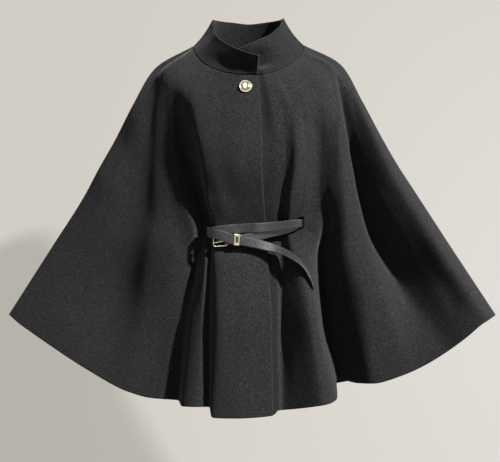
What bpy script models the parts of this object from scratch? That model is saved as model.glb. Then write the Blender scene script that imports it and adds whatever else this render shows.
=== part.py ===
"""Belted wool cape, worn shape with no wearer: the cloth walls, collar, button, belt and buckle.

The frame is metres with Z up, the front facing -Y and the wearer's right at -X. The origin is the centre
of the neck seam, level with the points of the shoulders beside the neck.
"""

import bpy
import numpy as np

MM = 0.001

# Cloth
CLOTH_WALL = 3.0  # thick fulled wool
COLLAR_WALL = 4.0  # two plies of the same wool
SEAM_GAP = 0.3  # left open between front and back
NECK_GAP = 0.9  # left open below the collar
LAP_STEP = 4.7  # how far the under front lies behind the top front

# Neck seam
NECK_HALF_WIDTH = 110.0
NECK_FRONT = 85.0
NECK_BACK = 75.0
NECK_FRONT_DROP = 70.0
NECK_BACK_DROP = 8.0

# Lengths of cloth, as heights on the centre lines
FRONT_HEM_Z = -725.0
BACK_HEM_Z = -712.0

# Names of the heights at which the folds are measured, as shares of the cloth from neck seam to hem
LEVELS = {
    "neck": 0.0,
    "shoulder": 0.13,
    "chest": 0.26,
    "ribs": 0.38,
    "waist": 0.475,
    "hip": 0.57,
    "thigh": 0.75,
    "hem": 1.0,
}

# How round each level runs in front view: 1 is a half ellipse, less is a flatter arc
ARC_AT = (0.0, 0.13, 0.3, 1.0)
ARC_ROUNDNESS = (1.0, 0.93, 0.8, 0.71)

# Outer edge of the cape, where front and back are sewn together: height at each level, mm
EDGE_HEIGHT = {
    "right": (-2, -46, -121, -191, -246, -301, -401, -540),
    "left": (0, -40, -116, -187, -242, -295, -396, -536),
}

# Right front, the one on top, from its closing edge to the outer edge.
# Columns: across (mm, X) at neck, shoulder, chest, ribs, waist, hip, thigh, hem
RIGHT_ACROSS = {
    "closing_edge": (18, 24, 26, 30, 36, 39, 44, 47),
    "button_line": (-11, -14, -16, -16, -15, -18, -16, -16),
    "front_roll": (-40, -53, -55, -55, -57, -57, -55, -54),
    "flank": (-69, -104, -90, -78, -66, -70, -71, -70),
    "crease": (-77, -114, -101, -84, -71, -75, -77, -76),
    "pleat": (-85, -123, -116, -94, -80, -83, -90, -98),
    "pleat_side": (-91, -131, -126, -105, -90, -95, -110, -128),
    "valley": (-96, -138, -135, -117, -99, -104, -126, -143),
    "wing_inner": (-101, -148, -145, -133, -108, -113, -142, -167),
    "wing_ridge": (-105, -161, -156, -147, -138, -139, -163, -195),
    "wing_base": (-107, -170, -180, -180, -178, -186, -205, -240),
    "wing_outer": (-108.5, -175, -196, -203, -210, -225, -252, -320),
    "wing_mid": (-109.4, -178, -212, -246, -274, -302, -357, -409),
    "arm_round": (-109.8, -180, -223, -256, -286, -317, -381, -466),
    "outer_edge": (-110, -186, -230, -267, -298, -328, -393, -483),
}

# The same folds. Columns: forward (mm, Y, negative is forward) at shoulder ... hem, then hem lift (mm)
RIGHT_FORWARD = {
    "closing_edge": (-105, -121, -107, -92, -109, -138, -143, 7),
    "button_line": (-108, -121, -103, -90, -115, -140, -146, -1),
    "front_roll": (-103, -114, -99, -87, -110, -136, -142, -4),
    "flank": (-91, -104, -97, -83, -99, -121, -130, 3),
    "crease": (-85, -82, -66, -66, -84, -108, -120, 7),
    "pleat": (-79, -60, -49, -58, -86, -111, -125, 9),
    "pleat_side": (-72, -52, -42, -55, -79, -99, -112, 5),
    "valley": (-65, -53, -55, -66, -81, -77, -80, 11),
    "wing_inner": (-57, -60, -65, -75, -79, -72, -79, 7),
    "wing_ridge": (-48, -54, -61, -65, -71, -66, -73, 2),
    "wing_base": (-40, -42, -48, -53, -60, -54, -64, 0),
    "wing_outer": (-32, -31, -33, -33, -34, -26, -35, 6),
    "wing_mid": (-23, -28, -20, -18, -12, -4, -4, 7),
    "arm_round": (-13, -24, -13, -13, -6, 3, 12, 1),
    "outer_edge": (-1, -15, -5, -3, 3, 12, 20, 0),
}

# Left front, the one beneath, from beside its closing edge to the outer edge. Columns as above
LEFT_ACROSS = {
    "strip": (30, 49, 55, 51, 50, 54, 55, 57),
    "strip_edge": (40, 65, 70, 67, 66, 63, 64, 66),
    "tuck": (48, 75, 79, 72, 70, 74, 84, 95),
    "bust_ridge": (58, 85, 92, 83, 79, 95, 116, 138),
    "bust_side": (69, 103, 113, 109, 108, 113, 128, 153),
    "bust_edge": (79, 121, 136, 132, 137, 128, 139, 168),
    "gap_floor": (87, 136, 150, 146, 152, 139, 147, 176),
    "gap_side": (92, 148, 160, 160, 167, 165, 188, 212),
    "sleeve_ridge": (96, 156, 170, 177, 186, 192, 226, 246),
    "sleeve_side": (99, 162, 178, 192, 202, 219, 258, 298),
    "sleeve_edge": (102, 167, 184, 200, 213, 231, 284, 342),
    "arm_floor": (104.5, 171, 190, 205, 219, 238, 297, 383),
    "arm_slope": (107, 174, 205, 228, 252, 281, 346, 422),
    "arm_crest": (109.2, 177, 216, 250, 277, 309, 373, 457),
    "outer_edge": (110, 183, 225, 262, 293, 327, 392, 484),
}

LEFT_FORWARD = {
    "strip": (-108, -119, -104, -89, -107, -133, -138, 9),
    "strip_edge": (-108, -119, -103, -87, -102, -126, -134, 9),
    "tuck": (-109, -122, -108, -91, -109, -143, -148, 10),
    "bust_ridge": (-107, -129, -116, -99, -125, -163, -167, 11),
    "bust_side": (-102, -118, -111, -98, -117, -160, -164, 11),
    "bust_edge": (-96, -109, -106, -97, -100, -140, -150, 15),
    "gap_floor": (-89, -113, -111, -91, -62, -28, -32, 40),
    "gap_side": (-80, -115, -119, -109, -89, -69, -58, 32),
    "sleeve_ridge": (-71, -115, -125, -118, -103, -87, -78, 21),
    "sleeve_side": (-62, -111, -117, -111, -96, -82, -80, 18),
    "sleeve_edge": (-55, -104, -108, -101, -85, -60, -79, 19),
    "arm_floor": (-47, -50, -40, -38, -34, -46, -80, 20),
    "arm_slope": (-40, -57, -60, -66, -70, -76, -89, 18),
    "arm_crest": (-31, -59, -72, -80, -86, -93, -94, 11),
    "outer_edge": (-12, -36, -44, -49, -52, -57, -60, 0),
}

# Back, from the right outer edge to the left one. Columns: place across at the shoulder and at the hem
# (share of the half width), then how far the fold stands out (mm) at shoulder, waist and hem
BACK_FOLDS = {
    "arm_back_right": (-0.97, -0.975, 0, 0, 0),
    "wing_back_right": (-0.86, -0.88, 0, 2, 6),
    "wing_valley_right": (-0.72, -0.74, 0, -5, -11),
    "wing_flute_right": (-0.57, -0.60, 0, 7, 15),
    "side_valley_right": (-0.43, -0.45, 0, -8, -14),
    "back_flute_right": (-0.29, -0.30, 0, 5, 13),
    "centre_valley": (-0.13, -0.12, 0, -4, -9),
    "centre_flute": (0.04, 0.05, 0, 4, 12),
    "back_valley_left": (0.20, 0.21, 0, -6, -13),
    "back_flute_left": (0.35, 0.37, 0, 8, 15),
    "side_valley_left": (0.50, 0.52, 0, -7, -15),
    "wing_flute_left": (0.65, 0.68, 0, 5, 10),
    "wing_valley_left": (0.80, 0.83, 0, -3, -7),
    "wing_back_left": (0.91, 0.925, 0, 1, 3),
    "arm_back_left": (0.972, 0.978, 0, 0, 0),
}

# Depth of the back on the centre line (mm) at each level, and the roundness of its section
BACK_DEPTH = (75, 93, 109, 109, 107, 111, 124, 142)
BACK_SQUARENESS = (2.0, 2.2, 1.9, 1.7, 1.6, 1.6, 1.6, 1.6)
BACK_FULLNESS = (2.0, 1.7, 1.35, 1.2, 1.16, 1.14, 1.13, 1.12)

# Rows of the cloth grids and of the belt slits, as shares from neck seam to hem
RIGHT_SLIT_ROWS = (0.453, 0.492)
LEFT_SLIT_ROWS = (0.443, 0.478)
ROWS_ABOVE_SLITS = (0.0, 0.03, 0.065, 0.1, 0.13, 0.17, 0.215, 0.26, 0.3, 0.34, 0.38, 0.41)
ROWS_AT_SLITS = tuple(sorted(RIGHT_SLIT_ROWS + LEFT_SLIT_ROWS))
ROWS_BELOW_SLITS = (0.53, 0.57, 0.615, 0.66, 0.705, 0.75, 0.8, 0.86, 0.93, 1.0)
COLUMNS_PER_FOLD = 2

# Belt slits: columns that bound each, as shares of the way between two folds
RIGHT_SLIT_FOLDS = ("flank", "crease")
RIGHT_SLIT_SHARE = (0.0, 0.72)
LEFT_SLIT_FOLDS = ("bust_side", "bust_ridge")
LEFT_SLIT_SHARE = (0.05, 0.42)

# Collar: top edge from the top end round the neck to the under end.
# Columns: place along the neck seam (share), X, Y, Z (mm)
COLLAR_TOP = {
    "top_end": (0.0, 22, -81, -31),
    "top_front": (0.06, 1, -82, -26),
    "top_rise": (0.12, -19, -77, -18),
    "right_front": (0.175, -44, -63, -3),
    "right_turn": (0.225, -63, -42, 14),
    "right_ahead": (0.26, -68.5, -22, 30),
    "right_side": (0.3, -72, 4, 52),
    "right_back": (0.37, -62, 35, 54),
    "back_right": (0.44, -36, 55, 53.5),
    "back": (0.5, 0, 62, 50.5),
    "back_left": (0.56, 36, 55, 53.5),
    "left_back": (0.63, 61, 35, 55),
    "left_side": (0.7, 70, 4, 55),
    "left_ahead": (0.745, 65, -22, 39),
    "left_turn": (0.785, 54, -40, 25),
    "left_front": (0.83, 40, -54, 13),
    "under_rise": (0.885, 19, -66, 2),
    "under_front": (0.94, -6, -72.5, -10),
    "under_end": (1.0, -26, -69.5, -18),
}
COLLAR_ROWS = (0.0, 0.25, 0.5, 0.75, 1.0)
COLLAR_BOW = 2.2  # how far the middle of the collar dips towards the neck
COLLAR_FLAT_END = 0.14  # share of the seam over which the dip fades out towards the top end

# Button
BUTTON_X = -5.5
BUTTON_SHARE = 0.035  # place on the front, from neck seam to hem
BUTTON_RADIUS = 12.6
BUTTON_RIM = 1.7
BUTTON_DOME = 4.8
BUTTON_STAND = 0.4
BUTTON_SIDES = 40

# Belt strap
STRAP_WIDTH = 18.0
STRAP_THICK = 2.5
STRAP_STEP = 7.0

# Path of the belt, from the end sewn round the buckle bar to the free tip.
# Columns: X, Y, Z (mm), lean of the strap about its path (degrees), share of the full width
BELT_PATH = (
    ("sewn_end", -18.0, -99.6, -389.0, 0, 1.0),
    ("sewn_back", -32.0, -99.4, -388.9, 0, 1.0),
    ("bar_back", -41.6, -99.2, -388.7, 0, 1.0),
    ("bar_turn_in", -45.0, -100.4, -388.6, 0, 1.0),
    ("bar_turn", -46.3, -102.9, -388.6, 0, 1.0),
    ("bar_turn_out", -45.0, -105.4, -388.6, 0, 1.0),
    ("bar_front", -41.6, -106.6, -388.7, 0, 1.0),
    ("lower_start", -26.0, -106.4, -388.8, 0, 1.0),
    ("lower_rise", -8.0, -105.4, -387.3, 0, 1.0),
    ("lower_middle", 15.0, -102.8, -383.0, 0, 1.0),
    ("lower_lap", 35.0, -101.0, -377.2, -4, 1.0),
    ("lower_strip", 58.0, -101.2, -371.9, -10, 1.0),
    ("lower_ridge", 74.0, -102.7, -367.8, -16, 1.0),
    ("lower_near_slit", 86.0, -105.4, -363.2, -19, 0.97),
    ("first_dive", 94.8, -105.0, -359.0, -13, 0.92),
    ("first_slit", 98.4, -100.4, -357.3, -4, 0.88),
    ("first_through", 98.9, -92.0, -357.0, 0, 0.9),
    ("first_turn", 100.2, -84.0, -357.2, 0, 1.0),
    ("first_front_side", 106.0, -72.0, -358.2, 0, 1.0),
    ("first_side_ahead", 117.0, -47.0, -360.6, 0, 1.0),
    ("first_side", 124.0, 0.0, -364.6, 0, 1.0),
    ("first_side_behind", 107.0, 47.0, -368.0, 0, 1.0),
    ("first_back_left", 60.0, 78.0, -370.2, 0, 1.0),
    ("first_back", 0.0, 88.0, -371.6, 0, 1.0),
    ("first_back_right", -60.0, 78.0, -372.5, 0, 1.0),
    ("first_right_behind", -105.0, 46.0, -373.0, 0, 1.0),
    ("first_right", -119.0, 2.0, -373.0, 0, 1.0),
    ("first_right_ahead", -110.0, -18.0, -373.0, 0, 1.0),
    ("first_home", -86.0, -38.5, -373.0, 0, 1.0),
    ("first_home_near", -63.0, -53.0, -373.0, 0, 1.0),
    ("first_out_turn", -55.6, -64.6, -373.0, 0, 1.0),
    ("first_out", -58.6, -74.2, -373.0, 0, 1.0),
    ("first_out_slit", -67.2, -79.2, -373.0, 0, 1.0),
    ("upper_bend_in", -72.0, -81.6, -373.0, 0, 1.0),
    ("upper_bend", -74.2, -86.2, -373.0, 0, 1.0),
    ("upper_bend_out", -72.0, -90.8, -372.9, 0, 1.0),
    ("upper_start", -64.5, -93.6, -372.2, 0, 1.0),
    ("upper_roll", -50.0, -96.0, -370.0, 0, 1.0),
    ("upper_button_line", -20.0, -99.0, -367.2, 0, 1.0),
    ("upper_middle", 0.0, -103.2, -366.2, 0, 1.0),
    ("upper_cross", 15.0, -107.2, -365.8, 0, 1.0),
    ("upper_lap", 35.0, -106.0, -364.6, -3, 1.0),
    ("upper_strip", 58.0, -107.4, -362.2, -9, 1.0),
    ("upper_ridge", 76.0, -110.4, -360.2, -16, 1.0),
    ("upper_near_slit", 90.0, -111.6, -358.4, -19, 0.94),
    ("second_dive", 99.4, -109.2, -357.4, -12, 0.88),
    ("second_slit", 103.0, -102.4, -357.0, -4, 0.86),
    ("second_through", 103.4, -93.0, -357.0, 0, 0.9),
    ("second_turn", 105.6, -84.6, -357.2, 0, 1.0),
    ("second_front_side", 113.0, -71.0, -358.2, 0, 1.0),
    ("second_side_ahead", 123.5, -47.0, -360.6, 0, 1.0),
    ("second_side", 130.0, 0.0, -364.6, 0, 1.0),
    ("second_side_behind", 112.0, 50.0, -368.0, 0, 1.0),
    ("second_back_left", 62.0, 84.0, -370.2, 0, 1.0),
    ("second_back", 0.0, 94.5, -371.6, 0, 1.0),
    ("second_back_right", -62.0, 84.0, -372.5, 0, 1.0),
    ("second_right_behind", -110.0, 50.0, -373.0, 0, 1.0),
    ("second_right", -125.0, 0.0, -373.0, 0, 1.0),
    ("second_right_ahead", -113.0, -23.0, -373.0, 0, 1.0),
    ("second_home", -89.0, -43.5, -373.0, 0, 1.0),
    ("second_home_near", -67.4, -57.0, -373.0, 0, 1.0),
    ("second_out_turn", -62.0, -65.4, -373.0, 0, 1.0),
    ("second_out", -63.0, -70.2, -373.0, 0, 1.0),
    ("second_out_slit", -68.6, -74.6, -373.0, 0, 1.0),
    ("tail_bend_in", -75.2, -77.0, -373.2, 0, 1.0),
    ("tail_bend", -79.6, -84.8, -373.6, 0, 1.0),
    ("tail_bend_out", -77.8, -95.6, -374.6, 0, 1.0),
    ("tail_start", -69.5, -103.2, -376.6, 0, 1.0),
    ("tail_roll", -52.0, -108.8, -380.4, 0, 1.0),
    ("tail_buckle", -38.0, -110.6, -384.9, 0, 1.0),
    ("tail_keeper", -22.0, -110.8, -389.0, 0, 1.0),
    ("tail_free", 0.0, -110.6, -393.0, 3, 1.0),
    ("tail_droop", 16.0, -110.0, -396.4, 9, 1.0),
    ("tail_lean", 32.0, -110.4, -400.6, 20, 1.0),
    ("tail_turn", 51.0, -113.0, -405.8, 42, 1.0),
    ("tail_over", 70.0, -119.6, -412.7, 58, 1.0),
    ("tail_fall", 84.0, -127.8, -420.8, 66, 1.0),
    ("tail_ridge", 97.0, -136.2, -430.4, 72, 1.0),
    ("tail_hang", 105.0, -138.4, -438.7, 76, 1.0),
    ("tail_low", 112.5, -140.4, -448.4, 79, 1.0),
    ("tail_lower", 118.0, -142.0, -459.4, 81, 1.0),
    ("tail_end", 123.0, -143.6, -472.0, 83, 1.0),
    ("tail_taper", 124.4, -144.0, -478.0, 84, 0.75),
    ("tail_tip", 125.0, -144.2, -481.5, 84, 0.35),
)

# Buckle: a rounded frame of round wire, its prong, and the keeper loop
FRAME_CENTRE = (-54.9, -101.0, -388.5)
FRAME_HALF_WIDTH = 12.8
FRAME_HALF_HEIGHT = 12.4
FRAME_CORNER = 3.2
FRAME_WIRE = 1.25
FRAME_ROLL = -4.0  # degrees about Y
FRAME_TURN = -8.0  # degrees about Z, so that the far bar lies nearer the cloth
FRAME_CORNER_STEPS = 5
WIRE_SIDES = 10
PRONG_WIRE = 0.95
PRONG_FROM = (-48.2, -104.2, -391.2)
PRONG_MIDDLE = (-58.0, -103.4, -393.2)
PRONG_TO = (-70.5, -102.0, -395.4)
KEEPER_CENTRE = (-22.3, -105.3, -388.8)
KEEPER_LENGTH = 10.8
KEEPER_INNER = (14.6, 21.0)  # depth, height
KEEPER_WALL = 1.0
KEEPER_CORNER = 1.6
KEEPER_ROLL = 4.0

# Colours
WOOL_BASE = (0.019, 0.019, 0.021)
WOOL_DARK = (0.015, 0.015, 0.017)
LEATHER_BASE = (0.022, 0.022, 0.024)
METAL_BASE = (0.83, 0.76, 0.62)


def material(name, base, roughness, metallic):
    made = bpy.data.materials.new(name)
    made.use_nodes = True
    shader = made.node_tree.nodes["Principled BSDF"]
    shader.inputs["Base Color"].default_value = (*base, 1.0)
    shader.inputs["Roughness"].default_value = roughness
    shader.inputs["Metallic"].default_value = metallic
    made.diffuse_color = (*base, 1.0)
    return made


def slopes(at, values):
    """Slope at each measured place of a curve that never swings past its measurements."""
    width = np.diff(at)
    width = width.reshape((-1,) + (1,) * (values.ndim - 1))
    rise = np.diff(values, axis=0) / width
    before = rise[:-1]
    after = rise[1:]
    first = 2 * width[1:] + width[:-1]
    second = width[1:] + 2 * width[:-1]
    same_way = before * after > 0
    safe_before = np.where(same_way, before, 1.0)
    safe_after = np.where(same_way, after, 1.0)
    middle = (first + second) / (first / safe_before + second / safe_after)
    middle = np.where(same_way, middle, 0.0)
    return np.concatenate([rise[:1], middle, rise[-1:]])


def curve(at, values, places):
    """A smooth curve through values (along their first axis), read at places."""
    at = np.asarray(at, float)
    values = np.asarray(values, float)
    places = np.asarray(places, float)
    slope = slopes(at, values)
    left = np.clip(np.searchsorted(at, places, side="right") - 1, 0, len(at) - 2)
    width = at[left + 1] - at[left]
    share = (places - at[left]) / width
    tail = (1,) * (values.ndim - 1)
    width = width.reshape((-1,) + tail)
    share = share.reshape((-1,) + tail)
    a = values[left]
    b = values[left + 1]
    square = share * share
    cube = square * share
    return (
        (2 * cube - 3 * square + 1) * a
        + (cube - 2 * square + share) * width * slope[left]
        + (3 * square - 2 * cube) * b
        + (cube - square) * width * slope[left + 1]
    )


def at_levels(row, rows):
    return curve(list(LEVELS.values()), row, rows)


def arc_height(across, half_width, centre, edge, rows):
    """Height of a level at this distance across, on an arc from the centre line to the outer edge."""
    round_share = np.interp(rows, ARC_AT, ARC_ROUNDNESS)
    share = np.clip(np.abs(across) / half_width, 0.0, 1.0)
    here = 1 - np.sqrt(np.maximum(0.0, 1 - (round_share * share) ** 2))
    whole = 1 - np.sqrt(np.maximum(0.0, 1 - round_share**2))
    return centre + (edge - centre) * here / whole


def front_lines(across, forward, side, rows):
    """Each fold of one front as a line of points down the cloth: (rows, folds, 3)."""
    half_width = np.abs(at_levels(across["outer_edge"], rows))
    edge = at_levels(EDGE_HEIGHT[side], rows)
    centre = -NECK_FRONT_DROP + (FRONT_HEM_Z + NECK_FRONT_DROP) * rows
    low = np.clip((rows - LEVELS["thigh"]) / (1 - LEVELS["thigh"]), 0.0, 1.0)
    lines = []
    for fold, places in across.items():
        x = at_levels(places, rows)
        share = min(1.0, abs(places[0]) / NECK_HALF_WIDTH)
        neck = -NECK_FRONT * np.sqrt(1 - share * share)
        y = at_levels((neck, *forward[fold][:-1]), rows)
        z = arc_height(x, half_width, centre, edge, rows)
        z = z + forward[fold][-1] * low * low * (3 - 2 * low)
        lines.append(np.stack([x, y, z], axis=1))
    return np.stack(lines, axis=1)


def back_lines(rows):
    """The folds of the back, between the two outer edges."""
    right = np.abs(at_levels(RIGHT_ACROSS["outer_edge"], rows))
    left = at_levels(LEFT_ACROSS["outer_edge"], rows)
    edge_forward = {
        -1: at_levels((0, *RIGHT_FORWARD["outer_edge"][:-1]), rows),
        1: at_levels((0, *LEFT_FORWARD["outer_edge"][:-1]), rows),
    }
    depth = at_levels(BACK_DEPTH, rows)
    square = at_levels(BACK_SQUARENESS, rows)
    full = at_levels(BACK_FULLNESS, rows)
    centre = -NECK_BACK_DROP + (BACK_HEM_Z + NECK_BACK_DROP) * rows
    lines = []
    for place_top, place_hem, out_top, out_waist, out_hem in BACK_FOLDS.values():
        side = -1 if place_top < 0 else 1
        half_width = right if side < 0 else left
        edge = at_levels(EDGE_HEIGHT["right" if side < 0 else "left"], rows)
        share = np.abs(place_top + (place_hem - place_top) * rows)
        out = curve((0.0, 0.45, 1.0), (out_top, out_waist, out_hem), rows)
        x = side * share * half_width
        y = edge_forward[side] * share**4
        y = y + depth * (1 - share**square) ** (1 / full) + out
        z = arc_height(x, half_width, centre, edge, rows)
        lines.append(np.stack([x, y, z], axis=1))
    return np.stack(lines, axis=1)


def whole_ring(rows):
    """All the folds once round the cape: from the top closing edge by the right side to the under edge.

    The first and the last line only steer the curve and carry no cloth.
    """
    rows = np.asarray(rows, float)
    right = front_lines(RIGHT_ACROSS, RIGHT_FORWARD, "right", rows)
    left = front_lines(LEFT_ACROSS, LEFT_FORWARD, "left", rows)
    back = back_lines(rows)
    step = np.array([0.0, LAP_STEP, 0.0])
    return np.concatenate(
        [
            left[:, :1] - step,
            right,
            back,
            left[:, ::-1],
            right[:, :3] + step,
        ],
        axis=1,
    )


RIGHT_NAMES = list(RIGHT_ACROSS)
LEFT_NAMES = list(LEFT_ACROSS)
CLOSING = 1.0
EDGE_RIGHT = CLOSING + RIGHT_NAMES.index("outer_edge")
EDGE_LEFT = EDGE_RIGHT + len(BACK_FOLDS) + 1
UNDER_CLOSING = EDGE_LEFT + len(LEFT_NAMES)
UNDER_EDGE = UNDER_CLOSING + 1


def right_place(fold):
    return CLOSING + RIGHT_NAMES.index(fold)


def left_place(fold):
    return EDGE_LEFT + len(LEFT_NAMES) - 1 - LEFT_NAMES.index(fold)


def surface(rows, places):
    """Points of the outer face: (rows, places, 3) in mm."""
    lines = whole_ring(rows)
    turned = np.swapaxes(lines, 0, 1)
    found = curve(np.arange(lines.shape[1]), turned, places)
    return np.swapaxes(found, 0, 1)


def outward(rows, places):
    """Unit directions out of the cloth at the same points."""
    rows = np.asarray(rows, float)
    places = np.asarray(places, float)
    small_row = 0.004
    small_place = 0.05
    down = surface(np.minimum(rows + small_row, 1.0), places)
    up = surface(np.maximum(rows - small_row, 0.0), places)
    ahead = surface(rows, places + small_place)
    behind = surface(rows, places - small_place)
    normal = np.cross(ahead - behind, down - up)
    normal = normal / np.linalg.norm(normal, axis=2, keepdims=True)
    smooth = normal.copy()
    smooth[:, 1:-1] = 0.25 * normal[:, :-2] + 0.5 * normal[:, 1:-1] + 0.25 * normal[:, 2:]
    return smooth / np.linalg.norm(smooth, axis=2, keepdims=True)


def between(first, second, slit=None):
    """Columns from one place to another, with the two sides of a slit among them."""
    count = int(round((second - first) * COLUMNS_PER_FOLD))
    places = list(np.linspace(first, second, count + 1))
    if slit is None:
        return np.array(places)
    low = min(slit)
    high = max(slit)
    margin = 0.12
    places = [place for place in places if not low - margin < place < high + margin]
    return np.array(sorted(places + [low, high]))


def smooth_all(mesh):
    for face in mesh.polygons:
        face.use_smooth = True


def body(name, points, faces, painted):
    mesh = bpy.data.meshes.new(name)
    mesh.from_pydata([tuple(point) for point in np.asarray(points) * MM], [], faces)
    mesh.update()
    smooth_all(mesh)
    made = bpy.data.objects.new(name, mesh)
    bpy.context.scene.collection.objects.link(made)
    made.data.materials.append(painted)
    return made


def wall(name, outer, inner, painted, hole=None):
    """A closed wall between two grids of points, with rims round its border and round the hole.

    hole is (first row, last row, first column, last column) of the cells left out.
    """
    rows, columns = outer.shape[:2]
    count = rows * columns
    keep = np.ones((rows - 1, columns - 1), bool)
    if hole is not None:
        keep[hole[0] : hole[1], hole[2] : hole[3]] = False
    faces = []
    edges = {}
    for i in range(rows - 1):
        for j in range(columns - 1):
            if not keep[i, j]:
                continue
            face = (
                i * columns + j,
                i * columns + j + 1,
                (i + 1) * columns + j + 1,
                (i + 1) * columns + j,
            )
            faces.append(face)
            faces.append(tuple(count + corner for corner in reversed(face)))
            for a, b in zip(face, face[1:] + face[:1]):
                edges[(a, b)] = True
    for a, b in edges:
        if (b, a) not in edges:
            faces.append((b, a, a + count, b + count))
    points = np.concatenate([outer.reshape(-1, 3), inner.reshape(-1, 3)])
    return body(name, points, faces, painted)


def row_number(rows, value):
    return int(np.argmin(np.abs(np.asarray(rows) - value)))


def eased(outer, row_ends, column_ends):
    """Moves the border points back by half the seam gap where another piece is sewn on."""
    half = SEAM_GAP / 2
    outer = outer.copy()
    if "neck" in row_ends:
        along = outer[1] - outer[0]
        outer[0] += NECK_GAP / 2 * along / np.linalg.norm(along, axis=1, keepdims=True)
    if "first" in column_ends:
        along = outer[:, 1] - outer[:, 0]
        outer[:, 0] += half * along / np.linalg.norm(along, axis=1, keepdims=True)
    if "last" in column_ends:
        along = outer[:, -2] - outer[:, -1]
        outer[:, -1] += half * along / np.linalg.norm(along, axis=1, keepdims=True)
    return outer


def seam_direction(places):
    """Outward direction shared by the cape and the collar where they are sewn together."""
    small_place = 0.05
    cape = outward([0.0], places)[0]
    foot = surface([0.0], places)[0]
    top = collar_top(places)
    along = surface([0.0], places + small_place)[0] - surface([0.0], places - small_place)[0]
    collar = np.cross(along, foot - top)
    collar = collar / np.linalg.norm(collar, axis=1, keepdims=True)
    both = cape + collar
    return both / np.linalg.norm(both, axis=1, keepdims=True)


def seam_share(places):
    """Where places lie along the neck seam, 0 at the top end of the collar and 1 at the under end."""
    fine = np.linspace(CLOSING, UNDER_EDGE, 400)
    path = surface([0.0], fine)[0]
    steps = np.linalg.norm(np.diff(path, axis=0), axis=1)
    length = np.concatenate([[0.0], np.cumsum(steps)])
    return np.interp(places, fine, length / length[-1])


def collar_top(places):
    table = np.array(list(COLLAR_TOP.values()), float)
    share = seam_share(places)
    return curve(table[:, 0], table[:, 1:], share)


def cloth_panel(name, rows, places, painted, sewn, slit=None, slit_rows=None):
    outer = surface(rows, places)
    normal = outward(rows, places)
    normal[0] = seam_direction(places)
    outer = eased(outer, ("neck",), sewn)
    inner = outer - normal * CLOTH_WALL
    hole = None
    if slit is not None:
        first = int(np.argmin(np.abs(places - min(slit))))
        last = int(np.argmin(np.abs(places - max(slit))))
        hole = (*(row_number(rows, row) for row in slit_rows), first, last)
    return wall(name, outer, inner, painted, hole)


def collar_wall(places, painted):
    """The collar band on the neck seam, with the same columns as the pieces below it."""
    foot = surface([0.0], places)[0]
    top = collar_top(places)
    shared = seam_direction(places)
    rise = top - foot
    length = np.linalg.norm(rise, axis=1, keepdims=True)
    foot = foot + rise / length * (NECK_GAP / 2)
    rise = top - foot
    along = np.gradient(foot, axis=0)
    normal = np.cross(along, -rise)
    normal = normal / np.linalg.norm(normal, axis=1, keepdims=True)
    flat_end = np.clip(seam_share(places) / COLLAR_FLAT_END, 0.0, 1.0)[:, None]
    outer = []
    inner = []
    for height in COLLAR_ROWS:
        bow = COLLAR_BOW * flat_end * 4 * height * (1 - height)
        ring = foot + rise * height - normal * bow
        facing = shared if height == 0 else normal
        outer.append(ring)
        inner.append(ring - facing * COLLAR_WALL)
    outer = np.array(outer)[::-1]
    inner = np.array(inner)[::-1]
    return wall("collar", outer, inner, painted)


def button(painted):
    """Domed metal button with a raised rim, seated just off the top front."""
    near = np.linspace(CLOSING, right_place("flank"), 200)
    seat_row = surface([BUTTON_SHARE], near)[0]
    place = near[int(np.argmin(np.abs(seat_row[:, 0] - BUTTON_X)))]
    seat = surface([BUTTON_SHARE], [place])[0, 0]
    axis = outward([BUTTON_SHARE], [place - 0.2, place, place + 0.2])[0, 1]
    side = np.cross(np.array([0.0, 0.0, 1.0]), axis)
    side = side / np.linalg.norm(side)
    up = np.cross(axis, side)
    radius = BUTTON_RADIUS
    profile = (
        (radius - 1.0, 0.0),
        (radius, 0.8),
        (radius, 2.0),
        (radius - 0.7, 2.7),
        (radius - BUTTON_RIM, 2.6),
        (radius - BUTTON_RIM - 0.7, 2.1),
        (0.72 * radius, 3.2),
        (0.5 * radius, 4.3),
        (0.25 * radius, 5.0),
    )
    points = [seat + axis * BUTTON_STAND]
    for ring_radius, height in profile:
        for k in range(BUTTON_SIDES):
            turn = 2 * np.pi * k / BUTTON_SIDES
            out = side * np.cos(turn) + up * np.sin(turn)
            points.append(seat + axis * (BUTTON_STAND + height) + out * ring_radius)
    points.append(seat + axis * (BUTTON_STAND + BUTTON_DOME))
    faces = []
    for k in range(BUTTON_SIDES):
        after = (k + 1) % BUTTON_SIDES
        faces.append((0, 1 + after, 1 + k))
        for ring in range(len(profile) - 1):
            low = 1 + ring * BUTTON_SIDES
            high = low + BUTTON_SIDES
            faces.append((low + k, low + after, high + after, high + k))
        last = 1 + (len(profile) - 1) * BUTTON_SIDES
        faces.append((last + k, last + after, len(points) - 1))
    return body("button", points, faces, painted)


def even_path(table, step):
    """The path read at even steps, keeping the close bends."""
    table = np.asarray(table, float)
    steps = np.linalg.norm(np.diff(table[:, :3], axis=0), axis=1)
    length = np.concatenate([[0.0], np.cumsum(steps)])
    places = [0.0]
    for first, second in zip(length[:-1], length[1:]):
        parts = max(1, int(round((second - first) / step)))
        places += list(first + (second - first) * np.arange(1, parts + 1) / parts)
    return rounded_curve(length, table, np.array(places))


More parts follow.
